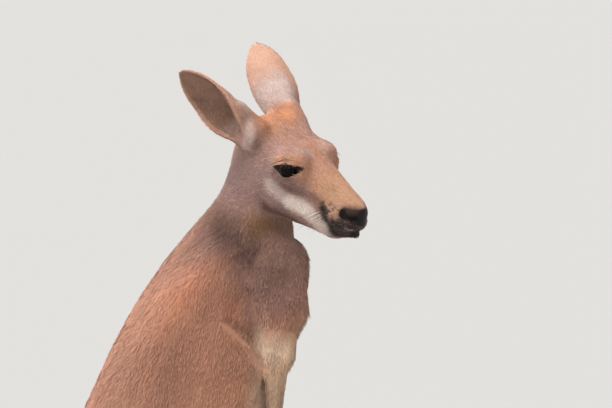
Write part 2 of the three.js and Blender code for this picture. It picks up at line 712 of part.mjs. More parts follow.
// An ear: a wall whose radius, opening and thickness change along its length.
function earSolid({ base, length, rise, open }) {
  const LENGTHS = 9;
  const AROUND = 8;
  const axes = facing(rise, open);
  const root = onHead(base);
  const rows = smoothRows(EAR_WALL, 4);
  const wallAt = (share) => {
    const i = clamp(rows.findIndex((row) => row[0] >= share), 1, rows.length - 1);
    const t = (share - rows[i - 1][0]) / (rows[i][0] - rows[i - 1][0]);
    return between(rows[i - 1], rows[i], clamp(t, 0, 1));
  };
  const points = [];
  const index = (i, j, inner) => (i * (AROUND + 1) + j) * 2 + inner;
  for (let i = 0; i <= LENGTHS; i++) {
    const share = Math.sin(((i / LENGTHS) * Math.PI) / 2) * 1.04 - 0.04;
    const [, radius, half, thick] = wallAt(Math.max(share, 0));
    for (let j = 0; j <= AROUND; j++) {
      const turn = radians(mix(-half, half, j / AROUND));
      for (const inner of [0, 1]) {
        const r = radius + thick * (0.5 - inner);
        const lean = EAR_BOW * Math.sin(Math.PI * Math.max(share, 0));
        const ahead = -r * Math.cos(turn) + radius - rows[0][1] - lean;
        points.push(add(root, carry(axes, [ahead, r * Math.sin(turn), share * length])));
      }
    }
  }
  const faces = [];
  const quad = (a, b, c, d) => faces.push([a, b, c], [a, c, d]);
  for (let i = 0; i < LENGTHS; i++) {
    for (let j = 0; j < AROUND; j++) {
      quad(index(i, j + 1, 0), index(i, j, 0), index(i + 1, j, 0), index(i + 1, j + 1, 0));
      quad(index(i, j, 1), index(i, j + 1, 1), index(i + 1, j + 1, 1), index(i + 1, j, 1));
    }
    quad(index(i, 0, 0), index(i, 0, 1), index(i + 1, 0, 1), index(i + 1, 0, 0));
    quad(index(i, AROUND, 1), index(i, AROUND, 0), index(i + 1, AROUND, 0), index(i + 1, AROUND, 1));
  }
  for (let j = 0; j < AROUND; j++) {
    quad(index(0, j, 0), index(0, j + 1, 0), index(0, j + 1, 1), index(0, j, 1));
    quad(index(LENGTHS, j + 1, 0), index(LENGTHS, j, 0), index(LENGTHS, j, 1), index(LENGTHS, j + 1, 1));
  }
  return closed(points, faces);
}

// A block on the head, from its lowest and highest corner there.
function headBlock(low, high, shrink) {
  const size = high.map((v, i) => v - low[i] - 2 * shrink);
  return solidOf(new THREE.BoxGeometry(...size), matrixOf(HEAD_AXES, onHead(between(low, high, 0.5))));
}

function makeHead() {
  const FAR = 120;
  const wrapped = (swell) => {
    const solid = within(swollen(body, swell), beyond(nape));
    const run = course([onHead([22, 0, 8]), onHead([176, 0, -6])], [HEAD_AXES[0], HEAD_AXES[0]], 15);
    return wrap(solid, { ...run, sides: 22, flat: [false, false], across: HEAD_AXES[1] });
  };
  let skull = wrapped(0);
  const clear = wrapped(GAP);
  for (const [name, ear] of Object.entries(EARS)) {
    piece(`ear_${name}`, earSolid(ear).subtract(clear), colours.face);
  }
  for (const [name, side] of [["right", -1], ["left", 1]]) {
    const centre = onHead([EYE.at[0], side * EYE.at[1], EYE.at[2]]);
    const ball = (r) => solidOf(new THREE.SphereGeometry(r, 14, 8), matrixOf(eyeAxes(side), centre));
    skull = skull.subtract(eyeOpening(side)).subtract(ball(EYE.radius + 2 * GAP));
    piece(`eye_${name}`, ball(EYE.radius), colours.eye, { rough: 0.08 });
  }
  const chops = (shrink) => headBlock([66, -FAR, -FAR], [260, FAR, -23], shrink);
  const tip = (shrink) => headBlock([193, -FAR, -14], [260, FAR, FAR], shrink);
  piece("lower_jaw", skull.intersect(chops(GAP / 2)), colours.pale);
  piece("nose", skull.intersect(tip(GAP / 2)), colours.nose, { rough: 0.5 });
  piece("head", skull.subtract(chops(-GAP / 2)).subtract(tip(-GAP / 2)), colours.face);
}

makeHead();
makeTrunk();
makeTail();
for (const [name, limb] of Object.entries(ARMS)) makeArm(name, limb);
for (const [name, side] of [["right", -1], ["left", 1]]) makeLeg(name, side);
group.position.x = FORWARD;

export default group;
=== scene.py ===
"""A standing red kangaroo at life size: skin, coat, eyes, claws and whiskers around its solids.

The body is laid out in millimetres from a point between the legs, under the hips: +X forward,
+Y to the animal's left, +Z up. The head's own frame has X towards the nose and Z to the crown.
"""
import math
from concurrent.futures import ThreadPoolExecutor

import bpy
import numpy as np
from bpy.props import FloatProperty, FloatVectorProperty, IntProperty, PointerProperty
from bpy.types import Operator, Panel, PropertyGroup
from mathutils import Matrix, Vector


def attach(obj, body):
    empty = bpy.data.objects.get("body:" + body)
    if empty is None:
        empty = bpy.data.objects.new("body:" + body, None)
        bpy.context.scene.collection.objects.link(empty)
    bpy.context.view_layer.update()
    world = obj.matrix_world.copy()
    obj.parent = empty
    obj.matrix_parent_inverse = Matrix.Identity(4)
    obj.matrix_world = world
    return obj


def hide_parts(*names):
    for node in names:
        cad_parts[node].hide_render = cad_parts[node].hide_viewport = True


bl_info = {
    "name": "Red Kangaroo",
    "version": (1, 0, 0),
    "blender": (4, 5, 0),
    "location": "3D View > Sidebar > Kangaroo",
    "description": "Builds a standing red kangaroo with its skin, coat, eyes, claws and whiskers",
    "category": "Add Mesh",
}

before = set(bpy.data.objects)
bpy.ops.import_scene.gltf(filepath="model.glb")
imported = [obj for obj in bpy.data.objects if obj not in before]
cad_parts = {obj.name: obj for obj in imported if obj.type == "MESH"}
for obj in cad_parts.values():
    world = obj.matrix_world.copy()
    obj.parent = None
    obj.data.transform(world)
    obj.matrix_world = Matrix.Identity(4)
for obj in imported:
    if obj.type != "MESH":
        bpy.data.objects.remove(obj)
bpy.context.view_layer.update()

MM = 0.001
FORWARD = 289.0  # from the middle of the length to the point between the legs
FLOOR_GAP = 0.3  # nothing of the skin or the coat comes nearer to the floor
WHOLE_BOX = ((-910, -210, -12), (340, 210, 1320))
F = np.float32


# ---- vectors and places ---------------------------------------------------------------------
def unit(v):
    v = np.array(v, float)
    return v / np.linalg.norm(v)


def turn(yaw=0.0, pitch=0.0, roll=0.0):
    """Columns are the turned axes, in degrees: yaw to the left, pitch nose down, roll about X."""
    y, p, r = np.radians([yaw, pitch, roll])
    rz = np.array([[math.cos(y), -math.sin(y), 0], [math.sin(y), math.cos(y), 0], [0, 0, 1]])
    ry = np.array([[math.cos(p), 0, math.sin(p)], [0, 1, 0], [-math.sin(p), 0, math.cos(p)]])
    rx = np.array([[1, 0, 0], [0, math.cos(r), -math.sin(r)], [0, math.sin(r), math.cos(r)]])
    return rz @ ry @ rx


class Place:
    """A point with axes of its own."""

    def __init__(self, at, axes):
        self.at, self.axes = np.array(at, float), axes

    def point(self, p):
        return self.at + self.axes @ np.array(p, float)

    def local(self, points):
        return (points - self.at) @ self.axes


def axes_facing(up, face):
    up = unit(up)
    face = np.array(face, float)
    face = unit(face - up * (face @ up))
    return np.stack([face, np.cross(up, face), up], 1)


HEAD = Place((88, -5, 1121), turn(yaw=-51, pitch=20, roll=7))
EYE_AT, EYE_RADIUS = (98, 38.5, 34), 15.5
LID_TILT = 18  # degrees up towards the nose
EAR_BOW = 12
EAR_WALL = [  # share of the length, radius, half angle of the wall in degrees, thickness
    (0, 14.5, 150, 9), (0.12, 18, 130, 7.2), (0.28, 24, 110, 6),
    (0.45, 29.5, 86, 5.2), (0.6, 32, 66, 4.7), (0.75, 34, 50, 4.4),
    (0.88, 33, 34, 4.2), (0.96, 31, 19, 4.0), (1, 30, 8, 4.0),
]
EARS = {  # root on the head, length, and the ways it rises and opens in the layout
    "right": ((18, -38, 47), 132, (-0.767, 0.068, 0.639), (-0.574, -0.696, -0.432)),
    "left": ((27, 38, 50), 138, (-0.213, 0.605, 0.767), (0.575, 0.712, -0.403)),
}
ARMS = {
    "right": (-1, (108, -66, 940), (107, -91, 849), (93, -109, 690), (105, -106, 642)),
    "left": (1, (103, 66, 941), (107, 91, 847), (121, 90, 692), (133, 84, 644)),
}
SIDES = (("right", -1), ("left", 1))


def ear_axes(side):
    return axes_facing(*EARS[side][2:])


def eye_axes(s):
    """Outwards, forwards along the lids, and up, in the head's frame."""
    out = unit((0.22, s * 0.95, 0.16))
    along = unit((math.cos(math.radians(LID_TILT)), 0, math.sin(math.radians(LID_TILT))))
    along = unit(along - out * (along @ out))
    up = np.cross(out, along)
    return np.stack([out, along, up if up[2] > 0 else -up], 1)


# ---- shapes, each a signed distance ---------------------------------------------------------
def stretched(k0, k1):
    """Distance to an oval, from the two lengths of a place measured in its radii."""
    return k0 * (k0 - 1) / np.maximum(k1, 1e-6)


def oval_ring(u, rest, wide, deep):
    """Distance to an oval section, u off its middle one way and rest, squared, the other."""
    k0 = np.sqrt((u / wide) ** 2 + rest / deep**2)
    return stretched(k0, np.sqrt((u / wide**2) ** 2 + rest / deep**4))


def egg(centre, radii, axes=None):
    c, r = np.array(centre, F), np.array(radii, F)
    m = np.eye(3, dtype=F) if axes is None else np.array(axes, F)

    def distance(p):
        a = (p - c) @ m / r
        b = a / r
        return stretched(np.sqrt((a * a).sum(1)), np.sqrt((b * b).sum(1)))

    return distance


def cone(a, b, ra, rb, flat=1.0, across=(0, 1, 0)):
    """A round cone from a to b, squeezed along across where flat isn't 1."""
    a, b = np.array(a, F), np.array(b, F)
    d = b - a
    l2 = float(d @ d)
    w = np.array(across, float)
    w = w - d * (w @ d) / l2
    w = (w / np.linalg.norm(w)).astype(F)

    def distance(p):
        v = p - a
        t = np.clip(v @ d / l2, 0, 1)
        q = v - t[:, None] * d
        r = ra + (rb - ra) * t
        if flat == 1.0:
            return np.sqrt((q * q).sum(1)) - r
        u = q @ w
        return oval_ring(u, np.maximum((q * q).sum(1) - u * u, 0), r * flat, r)

    return distance


def smooth_rows(rows, steps):
    """Rows of numbers on a smooth line through the given rows."""
    p = np.array(rows, float)
    p = np.vstack([2 * p[0] - p[1], p, 2 * p[-1] - p[-2]])
    out = []
    for a, b, c, d in zip(p[:-3], p[1:-2], p[2:-1], p[3:]):
        for t in np.arange(steps) / steps:
            bend = (2 * a - 5 * b + 4 * c - d) * t * t + (3 * b - a - 3 * c + d) * t**3
            out.append(0.5 * (2 * b + (c - a) * t + bend))
    out.append(p[-2])
    return np.array(out)


def sweep(stations, steps=4):
    """An oval section that follows (x, y, z, half width, half depth)."""
    s = smooth_rows(stations, steps).astype(F)
    a, d = s[:-1, :3], s[1:, :3] - s[:-1, :3]
    l2 = (d * d).sum(1)
    wide, deep = s[:, 3], s[:, 4]
    ad, aa = (a * d).sum(1), (a * a).sum(1)

    def distance(p):
        along = p @ d.T - ad
        t = np.clip(along / l2, 0, 1)
        gap = aa - 2 * (p @ a.T) - t * (2 * along - t * l2)
        pick = gap.argmin(1)
        tt = t[np.arange(len(p)), pick]
        q = p - a[pick] - tt[:, None] * d[pick]
        half_wide, half_deep = (r[pick] + (r[pick + 1] - r[pick]) * tt for r in (wide, deep))
        rest = np.maximum((q * q).sum(1) - q[:, 1] * q[:, 1], 0)
        return oval_ring(q[:, 1], rest, half_wide, half_deep)

    return distance


def tube(points, radius):
    return sweep([(*p, radius, radius) for p in points], steps=2)


def ear_wall(base, length, axes):
    """A curved wall round the line that rises along the third axis and opens along the first."""
    base, m = np.array(base, F), np.array(axes, F)
    st = smooth_rows(EAR_WALL, 4).astype(F)

    def distance(p):
        q = (p - base) @ m
        s = np.clip(q[:, 2] / length, 0, 1)
        over = q[:, 2] - s * length
        r, half, thick = [np.interp(s, st[:, 0], st[:, i]).astype(F) for i in (1, 2, 3)]
        half = np.radians(half)
        x = np.abs(q[:, 1])
        y = r - st[0, 1] - (q[:, 0] + EAR_BOW * np.sin(np.pi * s))
        edge = np.hypot(x - r * np.sin(half), y - r * np.cos(half))
        d = np.where(np.arctan2(x, y) < half, np.abs(np.hypot(x, y) - r), edge)
        return np.sqrt(d * d + over * over) - thick / 2

    return distance


LID_WIDE, LID_HIGH, LID_LOW = 22.5, 3.4, 10.8
LID_AHEAD, LID_RAISED = 2.0, 2.2  # the middle of the opening from the middle of the eye


def lid_height(a, upper):
    """A lid's edge above or below the middle, at a share of the way to a corner."""
    return LID_HIGH * (1 - a**2.6) if upper else LID_LOW * (1 - a**1.7)


def lid_edges(v, w):
    """How far each place is past the lids' edges, and its share of the way to a corner."""
    v, w = v - LID_AHEAD, w - LID_RAISED
    a = np.clip(np.abs(v) / LID_WIDE, 0, 1)
    edge = np.maximum(w - lid_height(a, True), -w - lid_height(a, False))
    return edge * 0.85 + np.maximum(np.abs(v) - LID_WIDE, 0), a


def lid_space(centre, axes, start):
    """The almond between two lids. The axes are outwards, along and up."""
    c, m = np.array(centre, F), np.array(axes, F)

    def distance(p):
        q = (p - c) @ m
        edge, a = lid_edges(q[:, 1], q[:, 2])
        return np.maximum(edge, start + 3 * a**3 - q[:, 0])

    return distance


FAR = 400.0  # a distance from every mass


def merged(a, b, k, sign):
    """Distance to both masses (sign 1), or to the first less the second (-1), blended over k."""
    a = sign * a
    h = np.clip(0.5 + 0.5 * (b - a) / k, 0, 1)
    return sign * (b + (a - b) * h - k * h * (1 - h))


class Body:
    """Masses blended into each other, and hollows cut from them, in order."""

    def __init__(self):
        self.parts = []

    def add(self, shape, blend):
        self.parts.append((shape, float(blend), 1))

    def cut(self, shape, blend):
        self.parts.append((shape, float(blend), -1))

    def at(self, p):
        """Distance at each of a few points."""
        p = np.asarray(p, F)
        d = np.full(len(p), FAR, F)
        for shape, k, sign in self.parts:
            d = merged(d, shape(p), k, sign)
        return d

    def in_blocks(self, p, reach):
        """Distances in blocks of points. A part is worked out only where it can matter."""
        p = p.astype(F)
        mid = p.mean(1)
        d = np.full(p.shape[:2], FAR, F)
        for shape, k, sign in self.parts:
            near = shape(mid) < reach * 1.35 + k + 5
            if near.any():
                v = shape(p[near].reshape(-1, 3)).reshape(-1, p.shape[1])
                d[near] = merged(d[near], v, k, sign)
        return d


# ---- the animal's masses --------------------------------------------------------------------
def add_trunk(b):
    rows = [
        (-165, 0, 410, 74, 80), (-112, 0, 478, 108, 116), (-62, 0, 560, 122, 140),
        (-38, 0, 650, 122, 145), (-26, 0, 740, 114, 133), (-14, 0, 810, 101, 112),
        (0, 0, 870, 88, 92), (20, 0, 925, 77, 78), (46, 0, 972, 66, 68),
        (68, -1, 1010, 56, 60), (84, -2, 1048, 47, 51), (92, -4, 1088, 42, 42),
        (96, -6, 1120, 38, 38),
    ]
    b.add(sweep(rows), 18)
    b.add(egg((76, 0, 955), (56, 62, 66), turn(pitch=25)), 24)
    b.add(egg((106, 0, 982), (41, 46, 48)), 24)
    b.add(egg((113, -4, 1018), (33, 32, 34)), 20)  # throat
    b.add(egg((30, 0, 676), (90, 100, 130)), 36)
    for s in (1, -1):
        b.add(egg((30, s * 50, 940), (48, 34, 78), turn(pitch=18)), 22)
        b.add(egg((-48, s * 22, 840), (48, 56, 116), turn(pitch=24)), 30)
        b.add(egg((-112, s * 50, 490), (86, 72, 104)), 36)
        b.add(egg((44, s * 62, 802), (56, 40, 120)), 24)  # fold of the flank
        b.add(cone((88, s * 64, 936), (64, s * 72, 836), 26, 24), 20)  # behind the upper arm


TAIL = [
    (-120, 0, 470, 88, 92), (-178, 0, 392, 72, 82), (-230, -2, 314, 59, 69),
    (-286, -6, 232, 51, 58), (-350, -12, 152, 45, 50), (-428, -22, 84, 41, 43),
    (-520, -34, 42, 36, 38), (-625, -44, 28, 31, 31), (-730, -48, 22, 25, 25),
    (-820, -44, 15, 18, 18), (-876, -38, 9, 12, 12),
]


def finger_line(s, knuckles, i):
    """Where a finger starts and ends. The first is the innermost."""
    k = i - 2
    root = knuckles + np.array((2 - abs(k) * 3, k * 6.0 * s, 4 + k * k))
    return root, root + np.array((10 - abs(k), k * 4.0 * s, -30 + abs(k) * 3))


def add_arm(b, s, shoulder, elbow, wrist, knuckles):
    shoulder, elbow, wrist, knuckles = (
        np.array(v, float) for v in (shoulder, elbow, wrist, knuckles)
    )
    b.add(egg(shoulder + (16, -s * 22, 32), (40, 30, 42)), 20)
    b.add(egg(shoulder + (4, -s * 4, 2), (44, 32, 48)), 22)
    b.add(cone(shoulder, elbow, 37, 25, 0.8), 16)
    b.add(egg(shoulder * 0.65 + elbow * 0.35 + (11, s * 2, 0), (38, 27, 39)), 18)
    b.add(egg(elbow + (2, 0, 8), (23, 19, 32)), 18)
    b.add(cone(elbow + (0, 0, -4), wrist, 17, 9, 0.9), 10)
    b.add(egg(elbow * 0.78 + wrist * 0.22, (15, 14, 40)), 12)
    b.add(egg((wrist + knuckles) / 2, (10.5, 14, 26), turn(pitch=-12)), 10)
    for i in range(5):
        b.add(cone(*finger_line(s, knuckles, i), 6, 4.2), 3)


def add_leg(b, s):
    def mirrored(p):
        return p[0], s * p[1], *p[2:]

    thigh = [
        (-92, 66, 492, 76, 128), (-30, 88, 478, 78, 128), (40, 108, 456, 70, 104),
        (100, 121, 436, 54, 74), (142, 127, 420, 42, 48),
    ]
    shank = [
        (134, 126, 404, 42, 48), (88, 117, 320, 44, 58), (38, 108, 226, 33, 43),
        (-2, 99, 142, 22, 27), (-24, 93, 82, 20, 26),
    ]
    heel_cord = [
        (34, 110, 290, 24, 26), (-14, 102, 190, 12, 15), (-44, 95, 110, 9, 12),
        (-54, 93, 58, 12, 13),
    ]
    sole = [
        (-30, 93, 33, 23, 31), (50, 92, 25, 23, 27), (130, 93, 20, 25, 24),
        (196, 94, 16, 24, 20),
    ]

    def run(rows):
        return sweep([mirrored(row) for row in rows])

    b.add(run(thigh), 30)
    b.add(egg((-66, s * 96, 408), (86, 54, 92), turn(pitch=-24)), 30)
    b.add(egg((36, s * 106, 376), (72, 42, 58), turn(pitch=-20)), 26)
    b.add(egg((150, s * 127, 428), (38, 33, 42)), 16)
    b.add(run(shank), 20)
    b.add(egg((56, s * 113, 322), (44, 40, 96), turn(pitch=24)), 24)
    b.add(run(heel_cord), 16)
    b.add(egg((-40, s * 93, 38), (32, 21, 35)), 16)
    b.add(run(sole), 14)
    b.add(cone((180, s * 94, 17), (262, s * 97, 10), 18, 12.5, 1.15), 10)  # long toe
    b.add(egg((262, s * 97, 11), (20, 15, 13)), 6)
    b.add(cone((150, s * 112, 17), (214, s * 124, 8), 13, 9.5), 8)  # outer toe
    b.add(cone((140, s * 74, 15), (196, s * 70, 7), 8, 6.5), 6)  # the joined pair


def eye_place(s):
    """An eye's middle and its axes in the layout."""
    return HEAD.point((EYE_AT[0], s * EYE_AT[1], EYE_AT[2])), HEAD.axes @ eye_axes(s)


def lid_line(b, s, upper, lift, over):
    """Points along a lid, lift millimetres beyond its edge: on the skin, or over the eyeball."""
    centre, m = eye_place(s)
    u = np.linspace(-4, 28, 97)
    points = []
    for a in np.linspace(-1, 1, 13):
        v = LID_AHEAD + a * LID_WIDE * 0.98
        edge = lid_height(abs(a), upper)
        w = LID_RAISED + edge + lift if upper else LID_RAISED - edge - lift
        ray = centre + u[:, None] * m[:, 0] + v * m[:, 1] + w * m[:, 2]
        skin = u[b.at(ray) < 0].max(initial=-4)
        ball = math.sqrt(max(EYE_RADIUS**2 - v * v - w * w, 0))
        points.append(centre + m @ np.array((max(skin, ball + over), v, w)))
    return points


def add_head(b):
    axes = HEAD.axes

    def ball(c, r, k, t=None):
        b.add(egg(HEAD.point(c), r, axes if t is None else axes @ t), k)

    def rod(p, q, ra, rb, k, flat=1.0):
        b.add(cone(HEAD.point(p), HEAD.point(q), ra, rb, flat, axes[:, 1]), k)

    ball((44, 0, 24), (52, 41, 44), 24)  # braincase
    rod((88, 0, 17), (174, 0, -4), 43, 30, 16, 0.84)  # face
    rod((96, 0, 37), (188, 0, 9), 24, 14, 14)  # bridge of the nose
    ball((182, 0, -8), (31, 23, 28), 12)  # end of the muzzle
    ball((198, 0, 2), (19, 18.5, 17), 8)  # nose pad
    ball((197, 0, -11), (22, 17, 14), 8)  # upper lip
    ball((95, 0, -42), (31, 16, 14), 14)  # throat
    for s in (1, -1):
        ball((72, s * 29, 2), (44, 18, 30), 16)  # cheekbone
        ball((80, s * 26, 24), (40, 18, 25), 14)
        ball((50, s * 22, -26), (42, 18, 34), 18)  # jaw muscle
        rod((58, s * 16, -38), (160, s * 6, -38), 15, 11, 12)  # lower jaw
        rod((84, s * 22, -20), (150, s * 11, -26), 21, 15, 14)  # side of the jaw
        ball((93, s * 29, 49), (25, 12, 11), 20, turn(pitch=-14))  # brow
        ball((182, s * 13, -11), (28, 13, 17), 8)  # whisker pad
        ball((98, s * 36, 34), (24, 15.5, 17), 18)  # lids
    ball((160, 0, -39), (26, 12, 13), 8)  # under the chin
    rod((170, 0, -39), (205, 0, -24), 13, 10.5, 6, 1.15)  # chin
    for s in (1, -1):
        b.cut(tube(lid_line(b, s, True, 6.0, 3.2), 1.2), 3)  # fold over the eye
        b.cut(tube(lid_line(b, s, False, 8.0, 3.0), 1.2), 4)  # fold under it
        upper, lower = lid_line(b, s, True, 0.9, 1.1), lid_line(b, s, False, 0.9, 0.8)
        b.add(tube(upper, 1.8), 2.5)
        b.add(tube(lower, 1.5), 2.5)
        b.cut(lid_space(*eye_place(s), 6), 1.2)
        nostril = [(209, s * 13, -1), (204, s * 18, -3), (197, s * 21, 0), (193, s * 21, 5)]
        b.cut(tube([HEAD.point(p) for p in nostril], 2.3), 2)
        mouth = [(214, s * 2, -22), (206, s * 12, -24), (190, s * 19, -26), (160, s * 23, -24)]
        b.cut(tube([HEAD.point(p) for p in mouth], 1.5), 2)
    b.cut(cone(HEAD.point((222, 0, -3)), HEAD.point((219, 0, -20)), 1.4, 1.2), 2)  # groove
    for side, s in SIDES:
        base = EARS[side][0]
        b.add(ear_wall(HEAD.point(base), EARS[side][1], ear_axes(side)), 8)
        ball((base[0] + 2, base[1] * 0.92, base[2] + 2), (22, 18, 20), 12)
    rod((24, 42, 78), (66, 28, 46), 8, 15, 16)  # front of the left ear's root
    rod((0, -46, 85), (25, -30, 65), 7, 11, 14)  # inner side of the right ear's root
    ball((20, 2, 54), (26, 30, 16), 16)  # crown


def whole_body():
    b = Body()
    add_trunk(b)
    b.add(sweep(TAIL), 36)
    for _, s in SIDES:
        add_leg(b, s)
    for arm in ARMS.values():
        add_arm(b, *arm)
    folds = (  # of loose skin between the arm and the flank
        (3, ((33, 87, 902), (50, 90, 885), (67, 95, 868), (82, 96, 838))),
        (2.6, ((67, 83, 943), (73, 89, 920), (80, 95, 893), (84, 99, 866))),
    )
    for _, s in SIDES:
        for radius, line in folds:
            b.cut(tube([(x, s * y, z) for x, y, z in line], radius), 6)
    add_head(b)
    return b


def ease(x, low, high):
    t = np.clip((x - low) / (high - low), 0, 1)
    return t * t * (3 - 2 * t)


def in_ear(p):
    """How far up an ear each point lies: below 0 where it isn't in one. Also which ear."""
    best, which = np.full(len(p), -1.0), np.zeros(len(p), int)
    for side, s in SIDES:
        q = (p - HEAD.point(EARS[side][0])) @ ear_axes(side)
        share = q[:, 2] / EARS[side][1]
        off = np.hypot(q[:, 0] + EAR_BOW * np.sin(np.pi * np.clip(share, 0, 1)) * 0.5, q[:, 1])
        inside = (off < 52) & (share > 0.1) & (share < 1.1)
        best[inside] = share[inside]
        which[inside] = s
    return best, which


PAW_DEPTH, TAIL_END_DEPTH, EAR_DEPTH = 1.2, 1.8, 0.5


def coat_depth(p, body_depth, face_depth):
    """How far the skin lies inside the tips of the coat."""
    q = HEAD.local(p)
    neck = ease(q[:, 0] + 0.6 * q[:, 2], -50, 30)
    high = ease(p[:, 2], 1000, 1080)
    depth = body_depth + (face_depth - body_depth) * np.minimum(neck, high)
    low = 1 - ease(p[:, 2], 70, 150)
    foot = low * ease(p[:, 0], -90, -60)
    hand = ease(p[:, 0], 60, 80) * (1 - ease(p[:, 2], 660, 780)) * ease(p[:, 2], 560, 590)
    depth = depth + (PAW_DEPTH - depth) * np.maximum(foot, hand)
    tail = 1 - ease(p[:, 0], -840, -500)
    depth = depth + (TAIL_END_DEPTH - depth) * tail
    share, _ = in_ear(p)
    return depth + (EAR_DEPTH - depth) * ease(share, 0.1, 0.3)


# ---- from distance to mesh ------------------------------------------------------------------
class FineGrid:
    """A grid whose cells are finer about the head. Grid numbers are in cells."""

    def __init__(self, cell, head_share):
        z = np.arange(-40.0, 1400.0, 0.5)
        self.z = z
        share = 1 - (1 - head_share) * ease(z, 880, 1040)
        self.row = np.concatenate([[0], np.cumsum(0.5 / (cell * share[:-1]))])
        self.share = share
        self.cell = cell
        self.middle = HEAD.point((70, 0, 0))[:2]

    def size(self, rows):
        return self.cell * np.interp(rows, self.row, self.share)

    def point(self, g):
        scale = self.size(g[..., 2])
        out = np.empty(g.shape)
        for i in (0, 1):
            out[..., i] = self.middle[i] + g[..., i] * scale
        out[..., 2] = np.interp(g[..., 2], self.row, self.z)
        return out

    def range(self, low, high):
        """Whole-number corners of a grid box that holds this box and the head."""
        edge = 175 / (self.cell * self.share[-1])
        lo = [min((low[i] - self.middle[i]) / self.cell, -edge) for i in (0, 1)]
        hi = [max((high[i] - self.middle[i]) / self.cell, edge) for i in (0, 1)]
        lo.append(np.interp(low[2], self.z, self.row))
        hi.append(np.interp(high[2], self.z, self.row))
        return np.floor(lo).astype(int), np.ceil(hi).astype(int)


BLOCK = 4  # cells along a block


def block_steps(size):
    """Each whole-number place in a box, or in a cube where size is one number."""
    ways = [np.arange(n) for n in np.broadcast_to(size, 3)]
    return np.stack(np.meshgrid(*ways, indexing="ij"), -1).reshape(-1, 3)


def in_threads(work, count, per_task):
    """The joined results of work on lists of numbers below count."""
    parts = np.array_split(np.arange(count), max(1, count // per_task))
    with ThreadPoolExecutor(4) as pool:
        return np.concatenate(list(pool.map(work, parts)))


class Names:
    """Numbers for blocks and for grid points, so that lists of them can be compared."""

    def __init__(self, span):
        self.blocks = (span * BLOCK + 4).astype(np.int64)
        self.points = (span * BLOCK**2 + 8).astype(np.int64)

    def block(self, b):
        b = b + 1
        return (b[:, 0] * self.blocks[1] + b[:, 1]) * self.blocks[2] + b[:, 2]

    def point(self, g):
        g = g + 2
        return (g[..., 0] * self.points[1] + g[..., 1]) * self.points[2] + g[..., 2]


def blocks_near(field, grid, lo, span):
    """Blocks whose middle lies near the surface, found in two rounds."""

    def near(blocks, step, slack, extra):
        g = lo + (blocks + 0.5) * step
        size = grid.size(g[:, 2]) * step
        f = in_threads(lambda i: field(grid.point(g[i])[:, None], size[i])[:, 0], len(g), 3000)
        return blocks[np.abs(f) < size * slack + extra]

    blocks = near(block_steps(span), BLOCK**2, 1.3, 8)
    blocks = (blocks[:, None] * BLOCK + block_steps(BLOCK)).reshape(-1, 3)
    return near(blocks, BLOCK, 1.2, 1.0)


def crossed_blocks(field, grid, lo, span, names):
    """Blocks that hold the whole surface, and the field at their grid points."""
    corners = block_steps(BLOCK + 1)
    shell = (corners % BLOCK == 0).any(1)

    def values(blocks):
        g = lo + (blocks[:, None] * BLOCK + corners)
        size = grid.size(g[:, 0, 2]) * BLOCK
        return in_threads(lambda i: field(grid.point(g[i]), size[i]), len(g), 400)

    def agreed(blocks, val):
        """Blocks that share a grid point take one value there, so the surface closes."""
        shared = names.point(blocks[:, None] * BLOCK + corners[shell])
        _, first, back = np.unique(shared, return_index=True, return_inverse=True)
        val[:, shell] = val[:, shell].reshape(-1)[first][back].reshape(len(blocks), -1)
        return val

    blocks = blocks_near(field, grid, lo, span)
    val = agreed(blocks, values(blocks))
    while True:  # blocks that the surface crosses into and that aren't there yet
        known, fresh = names.block(blocks), []
        inside = (val < 0).reshape(-1, BLOCK + 1, BLOCK + 1, BLOCK + 1)
        for axis in range(3):
            for end, step in ((0, -1), (BLOCK, 1)):
                wall = inside.take(end, axis + 1).reshape(len(blocks), -1)
                go = blocks[wall.any(1) & ~wall.all(1)].copy()
                go[:, axis] += step
                fresh.append(go[~np.isin(names.block(go), known)])
        fresh = np.unique(np.concatenate(fresh), axis=0)
        if not len(fresh):
            return blocks, val.reshape(inside.shape)
        blocks = np.concatenate([blocks, fresh])
        val = agreed(blocks, np.concatenate([val, values(fresh)]))


def net_points(blocks, val):
    """The grid place of each crossed cell, and its point's place within the cell."""
    corner = block_steps(2)
    edges = [(a, b) for a in range(8) for b in range(a + 1, 8) if (a ^ b).bit_count() == 1]
    ends = [val[:, i : i + BLOCK, j : j + BLOCK, k : k + BLOCK] for i, j, k in corner]
    ends = np.stack(ends, -1)
    hit = (ends < 0).any(-1) & ~(ends < 0).all(-1)
    at, v = np.argwhere(hit), ends[hit]
    total, count = np.zeros((len(at), 3)), np.zeros(len(at))
    for a, b in edges:
        m = (v[:, a] < 0) != (v[:, b] < 0)
        t = v[m, a] / (v[m, a] - v[m, b])
        total[m] += corner[a] + t[:, None] * (corner[b] - corner[a])
        count[m] += 1
    return blocks[at[:, 0]] * BLOCK + at[:, 1:], total / count[:, None]


def net_quads(blocks, val, names):
    """The names of the four cells about each grid edge that leaves or enters the body."""
    quads = []
    inside = val < 0
    there = inside[:, :BLOCK, :BLOCK, :BLOCK]
    for axis in range(3):
        u, w = (axis + 1) % 3, (axis + 2) % 3
        ahead = np.moveaxis(np.moveaxis(inside, axis + 1, 1)[:, 1:], 1, axis + 1)
        cross = np.argwhere(there != ahead[:, :BLOCK, :BLOCK, :BLOCK])
        leaving = there[tuple(cross.T)]
        e = blocks[cross[:, 0]] * BLOCK + cross[:, 1:]
        ring = []
        for du, dw in ((0, 0), (-1, 0), (-1, -1), (0, -1)):
            k = e.copy()
            k[:, u] += du
            k[:, w] += dw
            ring.append(names.point(k))
        ring = np.stack(ring, -1)
        ring[~leaving] = ring[~leaving][:, ::-1]
        quads.append(ring)
    return np.concatenate(quads)


